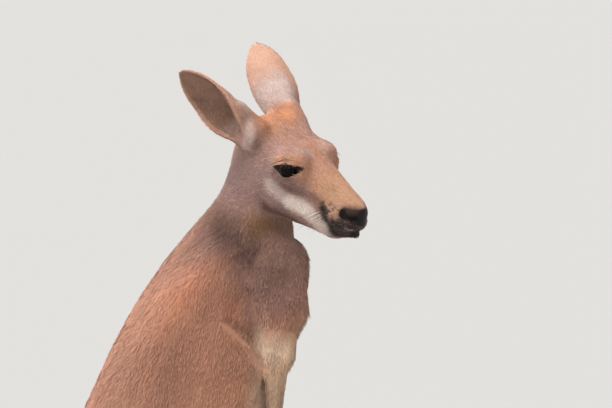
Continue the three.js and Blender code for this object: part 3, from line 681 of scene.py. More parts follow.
def surface_net(field, grid, low, high):
    """Points and quads of the surface where field is 0. field takes blocks and their size."""
    lo, hi = grid.range(low, high)
    span = np.ceil((hi - lo) / BLOCK**2).astype(int)
    names = Names(span)
    blocks, val = crossed_blocks(field, grid, lo, span, names)
    cells, within = net_points(blocks, val)
    points, keys = grid.point(lo + cells + within), names.point(cells)
    order = np.argsort(keys)
    quads = net_quads(blocks, val, names)
    found = np.minimum(np.searchsorted(keys[order], quads), len(keys) - 1)
    return points[order], found[(keys[order][found] == quads).all(1)]


def smoothed(points, faces, rounds):
    """Each point moves halfway to the mean of its neighbours."""
    n = faces.shape[1]
    ends = np.concatenate([np.stack([faces[:, i], faces[:, (i + 1) % n]], 1) for i in range(n)])
    ends = np.concatenate([ends, ends[:, ::-1]])
    count = np.maximum(np.bincount(ends[:, 0], minlength=len(points)), 1)[:, None]
    for _ in range(rounds):
        mean = [np.bincount(ends[:, 0], points[ends[:, 1], k], len(points)) for k in range(3)]
        points = 0.5 * points + 0.5 * np.stack(mean, 1) / count
    return points


def noise(p, size, seed=0):
    """Smooth noise from -1 to 1. size is the span of a lump in millimetres, one number or three."""
    q = p / np.asarray(size, float) + seed * 17.31
    i = np.floor(q).astype(np.int64)
    f = q - i
    f = f * f * (3 - 2 * f)
    total = np.zeros(len(p))
    for corner in block_steps(2):
        n = ((i + corner) * (73856093, 19349663, 83492791)).sum(1) & 0xFFFFFFFF
        n = ((n ^ (n >> 15)) * 2246822519) & 0xFFFFFFFF
        n = ((n ^ (n >> 13)) * 3266489917) & 0xFFFFFFFF
        share = np.where(corner, f, 1 - f).prod(1)
        total += share * (((n >> 8) & 0xFFFF) / 32767.5 - 1)
    return total


# ---- lie of the coat ------------------------------------------------------------------------
def on_head(*points):
    return [HEAD.point(p) for p in points]


def coat_lines():
    """(region, reach, line that the hair follows, its way if not along the line, numbers).
    The numbers are a tuft's length and width, tufts per square centimetre, and lift."""
    face, cheek = (3.4, 0.55, 105, 0.5), (4.6, 0.62, 85, 0.6)
    crown, neck = (5.5, 0.7, 75, 0.8), (7.0, 0.8, 52, 0.9)
    body, limb, paw = (8.5, 0.95, 30, 0.9), (7.0, 0.85, 36, 0.8), (4.5, 0.8, 46, 0.6)
    lines = []

    def run(region, reach, numbers, line, way=None):
        lines.append((region, reach, line, way, numbers))

    run("head", 26, face, on_head((206, 0, 6), (150, 0, 12), (100, 0, 40)))
    run("head", 34, crown, on_head((100, 0, 40), (50, 0, 56), (0, 0, 52)))
    run("neck", 50, neck, on_head((0, 0, 52), (-30, 0, 10), (-40, 0, -60)))
    for s in (1, -1):
        side = on_head((195, s * 18, -12), (150, s * 24, -10), (105, s * 38, -6))
        run("head", 24, face, side)
        side = on_head((105, s * 40, 0), (60, s * 44, -8), (15, s * 40, -40))
        run("head", 30, cheek, side)
    jaw = on_head((190, 0, -40), (120, 0, -42), (60, 0, -52), (10, 0, -100))
    run("head", 26, cheek, jaw)
    back = [(-20, 0, 980), (-80, 0, 860), (-130, 0, 700), (-160, 0, 540)]
    run("neck", 70, neck, [(40, 0, 1110), (-20, 0, 985)])
    run("back", 80, body, back)
    run("back", 80, body, [(-150, 0, 560), (-200, 0, 420)])
    front = [(130, 0, 1000), (110, 0, 900), (90, 0, 780), (100, 0, 660), (60, 0, 560)]
    run("neck", 60, neck, [(110, 0, 1060), (135, 0, 985)])
    run("front", 80, body, front)
    for s in (1, -1):
        run("front", 70, body, [(10, s * 90, 900), (0, s * 110, 640)], (-0.2, 0, -1))
        run("leg", 90, body, [(-90, s * 130, 500), (20, s * 140, 450)], (-0.55, 0, -1))
        run("leg", 60, body, [(60, s * 130, 440), (150, s * 127, 430)], (0.1, 0, -1))
        run("leg", 60, limb, [(110, s * 120, 370), (-10, s * 100, 130)])
        run("foot", 40, limb, [(-30, s * 94, 90), (-34, s * 94, 40)])
        toes = [(-30, s * 94, 40), (110, s * 94, 30), (280, s * 97, 10)]
        run("foot", 40, paw, toes)
    for s, shoulder, elbow, wrist, knuckles in ARMS.values():
        run("arm", 45, limb, [shoulder, elbow])
        run("arm", 30, limb, [elbow, wrist])
        end = np.array(knuckles, float)
        run("hand", 24, paw, [wrist, end, end + (10, 0, -30)])
    for side, _ in SIDES:
        base, axes = HEAD.point(EARS[side][0]), ear_axes(side)
        top = base + axes[:, 2] * EARS[side][1]
        run("ear", 34, face, [base + axes[:, 2] * 12, top])
    run("tail", 60, body, [row[:3] for row in TAIL[:6]])
    run("tail", 36, limb, [row[:3] for row in TAIL[5:]])
    return lines


REGIONS = ("head", "ear", "neck", "back", "front", "arm", "hand", "leg", "foot", "tail")


def lie_of_coat(points, normals):
    """At each point: the way of the hair, its region, length, width, number and lift."""
    way, total = np.zeros((len(points), 3)), np.zeros(len(points))
    facts = np.zeros((len(points), 4))
    nearest, region = np.full(len(points), np.inf), np.zeros(len(points), int)
    for name, reach, line, fixed, numbers in coat_lines():
        line = np.array(line, float)
        for a, b in zip(line[:-1], line[1:]):
            d = b - a
            t = np.clip((points - a) @ d / (d @ d), 0, 1)
            gap = np.linalg.norm(points - a - t[:, None] * d, axis=1) / reach
            w = 1 / (gap**4 + 0.02)
            way += w[:, None] * unit(d if fixed is None else fixed)
            facts += w[:, None] * numbers
            total += w
            closer = gap < nearest
            nearest[closer] = gap[closer]
            region[closer] = REGIONS.index(name)
    facts /= total[:, None]
    share, _ = in_ear(points)
    region[share > 0.16] = REGIONS.index("ear")
    for side, s in SIDES:
        ear = (share > 0.16) & (in_ear(points)[1] == s)
        axes = ear_axes(side)
        opening = ear & (normals @ axes[:, 0] > 0.15)
        way[ear] = axes[:, 2]
        way[opening] = unit(axes[:, 2] * 0.5 - s * axes[:, 1])
    way -= normals * (way * normals).sum(1)[:, None]
    way /= np.maximum(np.linalg.norm(way, axis=1), 1e-6)[:, None]
    return way, region, facts


# ---- markings and painted shade -------------------------------------------------------------
def from_screen(colour):
    c = np.array(colour, float)
    return np.where(c <= 0.04045, c / 12.92, ((c + 0.055) / 1.055) ** 2.4)


def towards(colour, other, share):
    return colour + (other - colour) * share[:, None]


def patch(p, line, radius, soft):
    """1 within radius of a line, falling to 0 over a share of the radius."""
    line = np.array(line, float)
    best = np.full(len(p), np.inf)
    for a, b in zip(line[:-1], line[1:]) if len(line) > 1 else [(line[0], line[0] + 0.01)]:
        d = b - a
        t = np.clip((p - a) @ d / (d @ d), 0, 1)
        best = np.minimum(best, np.linalg.norm(p - a - t[:, None] * d, axis=1))
    return 1 - ease(best / radius, 1 - soft, 1 + soft)


FACE_PATCHES = [
    # colour, strength, radius, softness, line in the head's frame with y to either side
    ("face", 1, 95, 0.35, [(60, 0, 10), (150, 0, 0)]),
    ("cheek", 0.85, 34, 0.7, [(15, 40, -20), (60, 46, -6), (96, 44, -10)]),
    ("cheek", 0.7, 22, 0.8, [(6, 36, -20), (20, 48, 30)]),
    ("cheek", 0.4, 12, 0.8, [(62, 44, 40), (74, 46, 20)]),
    ("throat", 0.85, 18, 0.7, [(56, 36, -72), (100, 18, -60)]),
    ("brow_rust", 0.9, 21, 0.7, [(8, 0, 76), (24, 16, 74)]),
    ("brow_rust", 0.3, 15, 0.8, [(39, 22, 68), (63, 8, 63), (92, 12, 60)]),
    ("ear_pale", 0.75, 8, 0.8, [(20, 50, 72), (31, 53, 54), (28, 49, 36)]),
    ("dark_coat_and_shade", 0.5, 5, 0.9, [(44, 46, 58), (40, 47, 40)]),
    ("lips", 0.8, 3, 0.8, [(110, 43, 41), (116, 39, 40)]),
    ("bridge", 0.95, 21, 0.7, [(108, 0, 54), (150, 0, 34)]),
    ("bridge", 0.95, 13, 0.7, [(118, 38, 44), (132, 27, 32), (150, 25, 20)]),
    ("bridge", 0.95, 8, 0.8, [(86, 50, 43), (103, 45, 52), (112, 39, 53)]),
    ("ear_pale", 0.3, 8, 0.9, [(104, 24, 60), (110, 16, 59)]),
    ("muzzle_top", 0.85, 18, 0.7, [(156, 8, 30), (194, 4, 19)]),
    ("muzzle_top", 0.8, 12, 0.7, [(152, 25, 18), (178, 25, 4)]),
    ("dark_coat_and_shade", 0.35, 8, 0.9, [(84, 50, 22), (96, 49, 19), (110, 45, 20)]),
    ("dark_coat_and_shade", 0.5, 6, 0.9, [(104, 46, 6), (124, 36, 6), (142, 28, 8), (156, 26, 4), (162, 26, -3)]),
    ("stripe", 0.45, 10, 0.8, [(78, 48, 1), (100, 42, -8), (121, 32, -13)]),
    ("stripe", 1, 10.5, 0.6, [(112, 36, -13), (138, 27, -18), (153, 23, -27), (164, 15, -39)]),
    ("stripe", 1, 9, 0.5, [(148, 24, -22), (159, 21, -26), (167, 14, -39)]),
    # painted shadow under the jaw
    ("dark_coat_and_shade", 0.9, 10, 0.9, [(72, 38, -38), (98, 32, -40), (118, 20, -48), (134, 6, -52)]),
    ("lips", 0.95, 6.5, 0.6, [(162, 25, -4), (169, 23, -15), (175, 18, -25), (177, 13, -33)]),
    ("lips", 0.98, 9, 0.5, [(178, 12, -35), (196, 10, -32), (208, 4, -27), (212, 0, -20)]),
    ("lips", 0.95, 10, 0.5, [(184, 22, -19), (198, 21, -14), (210, 12, -15)]),
    ("stripe", 0.5, 1.2, 0.9, [(194, 22, -12), (205, 17, -17), (212, 6, -15)]),
    ("muzzle_top", 0.4, 1.2, 0.9, [(180, 20, -22), (190, 18, -21), (202, 13, -22)]),
]
NOSE_LINES = [  # a line in the head's frame and its reach
    ([(195, 19, 3), (203, 14, 4), (212, 0, 5)], 10),
    ([(206, 11, -2), (213, 0, -5)], 8),
]

BODY_PATCHES = [
    ("shoulder", 0.95, 44, 0.6, [(50, 30, 1080), (40, 42, 1030)]),
    ("shoulder", 0.85, 60, 0.7, [(52, 73, 984), (113, 68, 994)]),
    ("shoulder", 0.8, 34, 0.7, [(100, 90, 950), (116, 100, 930)]),
    # painted shadow: the dark colour laid on the sides of the neck and on the chest, where the head
    # shades them
    ("dark_coat_and_shade", 1, 31, 0.7, [(54, 32, 1076), (40, 38, 1038), (56, 46, 1030)]),
    ("dark_coat_and_shade", 0.45, 22, 0.9, [(50, 50, 1016), (60, 66, 996)]),
    ("dark_coat_and_shade", 0.95, 36, 0.8, [(80, 40, 1022), (114, 64, 998)]),
    ("back", 0.6, 36, 0.9, [(10, 78, 955), (0, 84, 915)]),
    ("dark_coat_and_shade", 0.35, 22, 0.9, [(84, 80, 975), (96, 92, 945)]),
    ("nape", 0.6, 40, 0.7, [(30, 0, 1120), (-30, 0, 960)]),
    ("rust", 0.6, 20, 0.9, [(-36, 69, 915), (-50, 69, 893)]),
    ("rust", 0.45, 18, 0.9, [(8, 74, 958), (-8, 78, 930)]),
    ("dark_coat_and_shade", 0.6, 12, 1.0, [(-27, 72, 912), (-36, 84, 868), (-32, 95, 800)]),
    ("dark_coat_and_shade", 0.4, 34, 1.0, [(-84, 80, 820), (-70, 100, 760)]),
    # painted shade in the folds between the arm and the flank
    ("dark_coat_and_shade", 0.75, 15, 0.8, [(44, 80, 934), (60, 86, 908), (72, 92, 876)]),
    ("rust", 0.6, 5, 0.9, [(40, 84, 918), (62, 94, 876), (80, 94, 830)]),
    ("forearm", 0.55, 6, 0.9, [(86, 95, 945), (80, 95, 895)]),
    # painted shade: the throat's darker tan laid along the inner edge of the forearm, where it is
    # shaded
    ("throat", 0.7, 15, 0.8, [(95, 106, 818), (98, 108, 770), (100, 108, 720)]),
    ("paw", 0.8, 44, 0.5, [(120, 95, 10), (290, 95, 10)]),
]


def markings(points, normals, palette):
    """The coat's colour at each point, in linear light, with painted shade and painted light laid
    into it.
    """
    q = HEAD.local(points)
    q[:, 1] = np.abs(q[:, 1])
    p = points.copy()
    p[:, 1] = np.abs(p[:, 1])
    rough = noise(points, 26, 3) * 0.5 + noise(points, 9, 4) * 0.35 + noise(points, 4, 5) * 0.25

    def lay(colour, name, mask):
        return towards(colour, palette[name], mask)

    above = ease(normals @ unit((-0.9, 0, 0.35)) + rough * 0.25, -0.35, 0.75)
    colour = lay(palette["flank"], "back", above)
    below = ease(normals @ unit((0.95, 0, -0.3)) + rough * 0.2, 0.1, 0.8)
    colour = lay(colour, "belly", below * (1 - ease(p[:, 2], 800, 930)))
    inner = ease(-normals[:, 1] * np.sign(points[:, 1]), 0.1, 0.7) * (1 - ease(p[:, 2], 380, 500))
    colour = lay(colour, "belly", inner * ease(p[:, 0], -120, -60) * 0.8)
    under = ease(-normals[:, 2], 0.2, 0.8) * (1 - ease(p[:, 0], -160, -120))
    colour = lay(colour, "belly", under * 0.7)
    for name, strength, radius, soft, line in BODY_PATCHES:
        mask = patch(p + rough[:, None] * radius * 0.18, line, radius, soft)
        colour = lay(colour, name, mask * strength)
    for s, _, elbow, wrist, knuckles in ARMS.values():
        elbow, wrist, knuckles = np.array([elbow, wrist, knuckles], float)
        crook = [elbow + (-14, s * 6, 12), elbow + (6, s * 12, 9)]
        colour = lay(colour, "forearm", 0.85 * patch(points + rough[:, None] * 4, crook, 21, 0.6))
        lower = patch(points, [elbow + (-6, s * 6, 0), wrist], 24, 0.6)
        colour = lay(colour, "forearm", lower * 0.45)
        fingers = [wrist * 0.3 + knuckles * 0.7, knuckles + (10, 0, -60)]
        colour = lay(colour, "paw", 0.95 * patch(points + rough[:, None] * 4, fingers, 32, 0.45))
    for name, strength, radius, soft, line in FACE_PATCHES:
        mask = patch(q + rough[:, None] * min(radius, 30) * 0.12, line, radius, soft)
        colour = lay(colour, name, mask * strength)
    dots = ease(noise(points, 3.3, 31), 0.12, 0.3)
    colour = lay(colour, "lips", dots * 0.8 * patch(q, [(166, 25, 1), (186, 23, -5)], 11, 0.4))
    colour = lay(colour, "nose", nose_mask(q))
    colour = lay(colour, "dark_coat_and_shade", 0.5 * patch(q, [(196, 17, 10), (204, 11, 12)], 6, 0.8))
    share, which = in_ear(points)
    for side, s in SIDES:
        medial = ease(-s * (normals @ HEAD.axes[:, 1]), -0.3, 0.5)
        ear = ear_colours(points, side, share, rough, medial, palette)
        colour = towards(colour, ear, np.where(which == s, ease(share, 0.08, 0.2), 0))
    # painted light and shade: lighter and darker rows across the hair below the head, as rows of
    # clumped hair show them
    rows = noise(points, (22, 22, 4), 23) * (1 - ease(points[:, 2], 960, 1060))
    tint = 1 + 0.08 * noise(points, 60, 7) + 0.06 * noise(points, 14, 8) + 0.05 * rough
    colour = colour * np.clip(tint + 0.2 * rows, 0.6, 1.4)[:, None]
    return np.clip(colour, 0.002, 1)


def ear_colours(points, side, share, rough, medial, palette):
    """Brown-grey inside, tan outside with a pale middle, a warm tip and a bright rim."""
    local = (points - HEAD.point(EARS[side][0])) @ ear_axes(side)
    stations = smooth_rows(EAR_WALL, 4)
    radius = np.interp(share, stations[:, 0], stations[:, 1])
    half = np.interp(share, stations[:, 0], stations[:, 2])
    y = radius - EAR_WALL[0][1] - (local[:, 0] + EAR_BOW * np.sin(np.pi * share))
    outside = ease(np.hypot(local[:, 1], y) - radius, -0.9, 0.9)
    round_to = np.degrees(np.arctan2(np.abs(local[:, 1]), y)) / half
    middle = (1 - ease(round_to, 0.5, 0.85)) * ease(share, 0.12, 0.3) * (1 - ease(share, 0.4, 0.7))

    back = towards(palette["ear_back"], palette["ear_pale"], middle + rough * 0.15)
    back = towards(back, palette["brow_rust"], (1 - ease(share, 0.1, 0.26)) * 0.8 * medial)
    back = towards(back, palette["cheek"], (1 - ease(share, 0.2, 0.5)) * 0.6 * (1 - medial))
    inside = towards(palette["ear_inside"], palette["dark_coat_and_shade"], ease(rough, 0.1, 0.6) * 0.35)
    inside = towards(inside, palette["ear_pale"], (1 - ease(share, 0.16, 0.3)) * 0.5)
    ear = towards(inside, back, outside)
    return towards(ear, palette["ear_back"], ease(round_to, 0.95, 1.0) * 0.7)


def nose_mask(q):
    """1 on the nose's bare skin. q is in the head's frame with y to either side."""
    return np.maximum.reduce([patch(q, line, reach, 0.2) for line, reach in NOSE_LINES])


def bareness(points):
    """1 on naked skin: the nose, the lips, the rims of the lids and the soles."""
    q = HEAD.local(points)
    q[:, 1] = np.abs(q[:, 1])
    lips = patch(q, [(209, 4, -22), (202, 13, -23), (188, 20, -25)], 3.0, 0.4)
    e = (q - np.array(EYE_AT)) @ eye_axes(1)
    edge, _ = lid_edges(e[:, 1], e[:, 2])
    rim = (1 - ease(edge, 1.0, 2.6)) * ease(e[:, 0], -12, -8)
    rim *= np.linalg.norm(e, axis=1) < 34
    sole = (1 - ease(points[:, 2], 2, 5)) * ease(points[:, 0], -110, -70)
    return np.clip(np.maximum.reduce([nose_mask(q), lips, rim, sole]), 0, 1), rim


# ---- meshes ---------------------------------------------------------------------------------
def in_frame(points):
    """Millimetres of the body's layout to metres of the row frame."""
    return (np.asarray(points, float) + (FORWARD, 0, 0)) * MM


def in_layout(points):
    return np.asarray(points, float) / MM - (FORWARD, 0, 0)


def new_mesh(name, points, faces):
    """faces is one array of equal-sided faces, or a list of such arrays."""
    faces = [faces] if isinstance(faces, np.ndarray) else faces
    counts = np.concatenate([np.full(len(f), f.shape[1]) for f in faces])
    loops = np.concatenate([f.reshape(-1) for f in faces])
    me = bpy.data.meshes.new(name)
    me.vertices.add(len(points))
    me.vertices.foreach_set("co", np.asarray(points, F).reshape(-1))
    me.loops.add(len(loops))
    me.loops.foreach_set("vertex_index", loops.astype(np.int32))
    me.polygons.add(len(counts))
    starts = np.concatenate([[0], np.cumsum(counts)[:-1]])
    me.polygons.foreach_set("loop_start", starts.astype(np.int32))
    me.update(calc_edges=True)
    me.shade_smooth()
    return me


def new_object(name, mesh):
    ob = bpy.data.objects.new(name, mesh)
    bpy.context.scene.collection.objects.link(ob)
    return ob


def read(items, field, width, kind=F):
    values = np.empty(len(items) * width, kind)
    items.foreach_get(field, values)
    return values.reshape(-1, width)


def read_points(me):
    return read(me.vertices, "co", 3).astype(float)


def read_normals(me):
    return read(me.vertex_normals, "vector", 3).astype(float)


FIELDS = {"FLOAT": ("value", 1), "FLOAT_VECTOR": ("vector", 3), "FLOAT_COLOR": ("color", 4)}


def write_attribute(me, name, kind, values):
    at = me.attributes.get(name) or me.attributes.new(name, kind, "POINT")
    at.data.foreach_set(FIELDS[kind][0], np.asarray(values, F).reshape(-1))


def drop_attributes(me, *names):
    """Removes the named attributes and those that only planting needs."""
    for name in [a.name for a in me.attributes]:
        if name in names or name.startswith("hair_"):
            me.attributes.remove(me.attributes[name])


def baked(ob, name):
    """ob's evaluated shape as a plain mesh, with its modifiers gone."""
    deps = bpy.context.evaluated_depsgraph_get()
    seen = ob.evaluated_get(deps)
    me = bpy.data.meshes.new_from_object(seen, preserve_all_data_layers=True, depsgraph=deps)
    ob.modifiers.clear()
    old, ob.data = ob.data, me
    bpy.data.meshes.remove(old)
    me.name = name
    return me


def loft(rings):
    """A closed tube through rings of equal numbers of points."""
    rings = np.array(rings, float)
    n, sides = rings.shape[:2]
    points = rings.reshape(-1, 3)
    i, j = np.meshgrid(np.arange(n - 1), np.arange(sides), indexing="ij")
    k = (j + 1) % sides
    quads = np.stack([i * sides + j, i * sides + k, (i + 1) * sides + k, (i + 1) * sides + j], -1)
    faces = [quads.reshape(-1, 4)]
    around = np.arange(sides)
    for first, flip in ((0, True), ((n - 1) * sides, False)):
        points = np.vstack([points, points[first : first + sides].mean(0)])
        tip = np.full(sides, len(points) - 1)
        tri = np.stack([first + around, first + (around + 1) % sides, tip], 1)
        faces.append(tri[:, ::-1] if flip else tri)
    return points, faces


# ---- node trees -----------------------------------------------------------------------------
class Tree:
    """A node tree that is written one node at a time."""

    def __init__(self, nt):
        self.nt = nt

    def node(self, kind, inputs=None, **settings):
        n = self.nt.nodes.new(kind)
        for name, value in settings.items():
            setattr(n, name, value)
        for name, value in (inputs or {}).items():
            self.feed(n.inputs[name], value)
        return n

    def feed(self, socket, value):
        """Gives a socket a number, or links another socket to it."""
        if isinstance(value, bpy.types.NodeSocket):
            self.nt.links.new(value, socket)
        else:
            socket.default_value = value

    def maths(self, operation, a, b):
        return self.node("ShaderNodeMath", {0: a, 1: b}, operation=operation).outputs[0]


HAIR_INPUTS = (
    ("Tuft", "NodeSocketObject"), ("Width", "NodeSocketFloat"),
    ("Length", "NodeSocketFloat"), ("Lift", "NodeSocketFloat"),
    ("Crowding", "NodeSocketFloat"), ("Spread", "NodeSocketVector"),
    ("Seed", "NodeSocketInt"), ("Material", "NodeSocketMaterial"),
)


def hair_tree(name, scattered):
    """Plants a tuft at points scattered over a surface, or at each point of a loose mesh.
    The surface or the points carry lie, out, hair_width, hair_length, hair_lift, hair_count."""
    nt = bpy.data.node_groups.new(name, "GeometryNodeTree")
    t = Tree(nt)
    face = nt.interface
    face.new_socket("Geometry", in_out="OUTPUT", socket_type="NodeSocketGeometry")
    face.new_socket("Geometry", in_out="INPUT", socket_type="NodeSocketGeometry")
    for label, kind in HAIR_INPUTS:
        face.new_socket(label, in_out="INPUT", socket_type=kind)
    given = t.node("NodeGroupInput").outputs

    def stored(label, kind="FLOAT"):
        n = t.node("GeometryNodeInputNamedAttribute", {"Name": label}, data_type=kind)
        return n.outputs["Attribute"]

    def draw(kind, low, high, step):
        seed = t.maths("ADD", given["Seed"], float(step))
        n = t.node("FunctionNodeRandomValue", {"Seed": seed}, data_type=kind)
        ends = [s for s in n.inputs if s.enabled and s.name in ("Min", "Max")]
        for socket, value in zip(ends, (low, high)):
            t.feed(socket, value)
        return next(s for s in n.outputs if s.enabled)

    points, out = given["Geometry"], stored("out", "FLOAT_VECTOR")
    if scattered:
        density = t.maths("MULTIPLY", stored("hair_count"), given["Crowding"])
        facts = {"Mesh": points, "Density": density, "Seed": given["Seed"]}
        kind = "GeometryNodeDistributePointsOnFaces"
        spread = t.node(kind, facts, distribute_method="RANDOM")
        points, out = spread.outputs["Points"], spread.outputs["Normal"]
    ways = {"Primary Axis": out, "Secondary Axis": stored("lie", "FLOAT_VECTOR")}
    stand = t.node("FunctionNodeAxesToRotation", ways, primary_axis="Z", secondary_axis="Y")
    less = t.node("ShaderNodeVectorMath", {0: given["Spread"]}, operation="SCALE")
    less.inputs["Scale"].default_value = -1.0
    sway = draw("FLOAT_VECTOR", less.outputs[0], given["Spread"], 1)
    way = t.node("FunctionNodeEulerToRotation", {"Euler": sway})
    turns = {"Rotation": stand.outputs[0], "Rotate By": way.outputs[0]}
    turned = t.node("FunctionNodeRotateRotation", turns, rotation_space="LOCAL")
    long = t.maths("MULTIPLY", stored("hair_length"), given["Length"])
    long = t.maths("MULTIPLY", long, draw("FLOAT", 0.7, 1.25, 2))
    high = t.maths("MULTIPLY", t.maths("MULTIPLY", long, given["Lift"]), stored("hair_lift"))
    wide = t.maths("MULTIPLY", stored("hair_width"), given["Width"])
    size = t.node("ShaderNodeCombineXYZ", {"X": wide, "Y": long, "Z": high})
    tuft = t.node("GeometryNodeObjectInfo", {"Object": given["Tuft"]})
    planting = {
        "Points": points, "Instance": tuft.outputs["Geometry"],
        "Rotation": turned.outputs[0], "Scale": size.outputs[0],
    }
    planted = t.node("GeometryNodeInstanceOnPoints", planting).outputs[0]
    tone = {"Geometry": planted, "Name": "tone", "Value": draw("FLOAT", 0.0, 1.0, 3)}
    toned = t.node("GeometryNodeStoreNamedAttribute", tone, data_type="FLOAT", domain="INSTANCE")
    real = t.node("GeometryNodeRealizeInstances", {"Geometry": toned.outputs[0]}).outputs[0]
    last = t.node("GeometryNodeSetMaterial", {"Geometry": real, "Material": given["Material"]})
    t.node("NodeGroupOutput", {"Geometry": last.outputs[0]})
    return nt


def plant(ob, tree, **values):
    """Puts the tree on ob with its inputs set by their identifiers, and makes the result plain."""
    mod = ob.modifiers.new("Coat", "NODES")
    mod.node_group = tree
    for item in tree.interface.items_tree:
        if item.in_out == "INPUT" and item.name in values:
            mod[item.identifier] = values[item.name]
    return baked(ob, ob.name)


def tuft_template(name, rows, sides=2):
    """A unit tuft along +Y that stands off +Z. rows: (along, half width, height)."""
    points, along, across = [], [], []
    for y, w, z in rows[:-1]:
        for k in range(sides):
            if sides == 2:
                x, lift = (k - 0.5) * 2 * w, 0.0
            else:
                a = 2 * math.pi * k / sides
                x, lift = w * math.cos(a), w * math.sin(a) * 0.02
            points.append((x, y, z + lift))
            along.append(y)
            across.append(k / max(sides - 1, 1))
    y, w, z = rows[-1]
    points.append((0, y, z))
    along.append(y)
    across.append(0.5)
    n = len(rows) - 1
    tip = len(points) - 1
    ring = [(0, 1)] if sides == 2 else [(k, (k + 1) % sides) for k in range(sides)]
    quads = [(i * sides + a, i * sides + b, (i + 1) * sides + b, (i + 1) * sides + a)
             for i in range(n - 1) for a, b in ring]
    tris = [((n - 1) * sides + a, (n - 1) * sides + b, tip) for a, b in ring]
    me = new_mesh(name, np.array(points), [np.array(quads), np.array(tris)])
    write_attribute(me, "along", "FLOAT", along)
    write_attribute(me, "across", "FLOAT", across)
    ob = new_object(name, me)
    ob.hide_render = True
    return ob


def surface(name):
    mat = bpy.data.materials.new(name)
    mat.use_nodes = True
    t = Tree(mat.node_tree)
    shader = mat.node_tree.nodes["Principled BSDF"]
    return mat, t, shader


def give(t, shader, **values):
    for name, value in values.items():
        t.feed(shader.inputs[name.replace("_", " ")], value)


def attribute(t, name):
    return t.node("ShaderNodeAttribute", attribute_name=name, attribute_type="GEOMETRY").outputs


def ramp(t, value, stops):
    n = t.node("ShaderNodeValToRGB", {"Fac": value})
    ends = n.color_ramp.elements
    while len(ends) < len(stops):
        ends.new(0.5)
    for element, (place, grey) in zip(ends, stops):
        element.position = place
        element.color = (grey, grey, grey, 1) if isinstance(grey, (int, float)) else (*grey, 1)
    return n.outputs["Color"]


def times(t, a, b):
    ends = {"Factor": 1.0, "A": a, "B": b}
    n = t.node("ShaderNodeMix", ends, data_type="RGBA", blend_type="MULTIPLY")
    return n.outputs["Result"]


def mix(t, share, a, b):
    n = t.node("ShaderNodeMix", data_type="RGBA")
    for index, value in ((0, share), (6, a), (7, b)):
        t.feed(n.inputs[index], value)
    return n.outputs[2]


def coat_surface(name, root, tip, stray, spread=0.2):
    """Hair: darker at the root, lighter at the tip, each tuft its own shade, some pale."""
    mat, t, shader = surface(name)
    colour, tone, along = (attribute(t, n) for n in ("coat_colour", "tone", "along"))
    shade = ramp(t, tone["Fac"], [(0, 0.98 - spread), (0.5, 0.98), (1, 0.98 + spread)])
    length = ramp(t, along["Fac"], [(0, root), (0.7, tip), (1, tip * 1.08)])
    c = times(t, times(t, colour["Color"], shade), length)
    pale = ramp(t, tone["Fac"], [(0.9, 0), (0.98, stray)])
    c = mix(t, pale, c, (0.66, 0.5, 0.42, 1))
    give(t, shader, Base_Color=c, Roughness=0.7, Sheen_Weight=0.25, Sheen_Roughness=0.5)
    give(t, shader, Specular_IOR_Level=0.2)
    return mat


def skin_surface():
    """Skin with its short underfur, bare and pebbled where it has no hair."""
    mat, t, shader = surface("skin_and_underfur")
    colour, bare = attribute(t, "coat_colour"), attribute(t, "bare")["Fac"]
    place = t.node("ShaderNodeTexCoord").outputs["Object"]
    grain = t.node("ShaderNodeTexNoise", {"Vector": place, "Scale": 520.0, "Detail": 3.0})
    clumps = t.node("ShaderNodeTexNoise", {"Vector": place, "Scale": 120.0, "Detail": 4.0})
    pebble = t.node("ShaderNodeTexVoronoi", {"Vector": place, "Scale": 620.0})
    mottle = ramp(t, grain.outputs["Fac"], [(0.3, 0.8), (0.7, 1.0)])
    c = times(t, colour["Color"], mottle)
    # painted light and shade on bare skin: lighter in the middle of each pebble, darker in the
    # cracks between them
    pebble_light_and_shade = ramp(t, pebble.outputs["Distance"], [(0.0, 1.35), (0.6, 0.6)])
    pebble_lit_colour = times(t, colour["Color"], pebble_light_and_shade)
    c = mix(t, bare, c, pebble_lit_colour)
    rough = t.node("ShaderNodeMix", {0: bare, 2: 0.8, 3: 0.42}).outputs[0]
    hair = t.maths("ADD", grain.outputs["Fac"], clumps.outputs["Fac"])
    height = t.node("ShaderNodeMix", {0: bare, 2: hair, 3: pebble.outputs["Distance"]})
    bumps = {"Strength": 0.5, "Distance": 0.0006, "Height": height.outputs[0]}
    bump = t.node("ShaderNodeBump", bumps)
    give(t, shader, Base_Color=c, Roughness=rough, Normal=bump.outputs["Normal"])
    give(t, shader, Specular_IOR_Level=0.2, Sheen_Weight=0.04)
    return mat


# ---- what a user would change ---------------------------------------------------------------
def length_property(name, description, default, low=0.0, high=1.0):
    return FloatProperty(
        name=name, description=description, default=default, min=low, max=high,
        subtype="DISTANCE", unit="LENGTH", precision=4,
    )


def share_property(name, of):
    return FloatProperty(name=name, description=f"Share of the usual {of}", default=1.0)


def angle_property(name, description, degrees):
    degrees = math.radians(degrees)
    return FloatProperty(name=name, description=description, default=degrees, subtype="ANGLE")


def colour_property(name, description, default):
    default = tuple(v / 255 for v in default)
    return FloatVectorProperty(
        name=name, description=description, default=default, min=0, max=1, size=3,
        subtype="COLOR_GAMMA",
    )


class KangarooSkin(PropertyGroup):
    cell: length_property("Cell", "Grid cell of the skin on the body", 0.0028)
    head_cell: length_property("Head cell", "Grid cell of the skin on the head", 0.0014)
    body_depth: length_property("Coat depth", "From the tips of the coat to the skin", 0.0035)
    face_depth: length_property("Face depth", "The same on the face", 0.0012)
    faces: IntProperty(name="Triangles", description="Most in the skin", default=190000, min=1000)


class KangarooCoat(PropertyGroup):
    length: share_property("Length", "length")
    width: share_property("Width", "width")
    lift: share_property("Lift", "height")
    crowding: share_property("Crowding", "number")
    seed: IntProperty(name="Seed", description="Starts the scatter of the tufts", default=11)
    most: IntProperty(name="Tufts", description="Most tufts in one piece", default=65000, min=100)
    whisker: length_property("Whisker", "Length of a whisker on the lip", 0.042)
    lash: length_property("Lash", "Length of an eyelash", 0.0075)


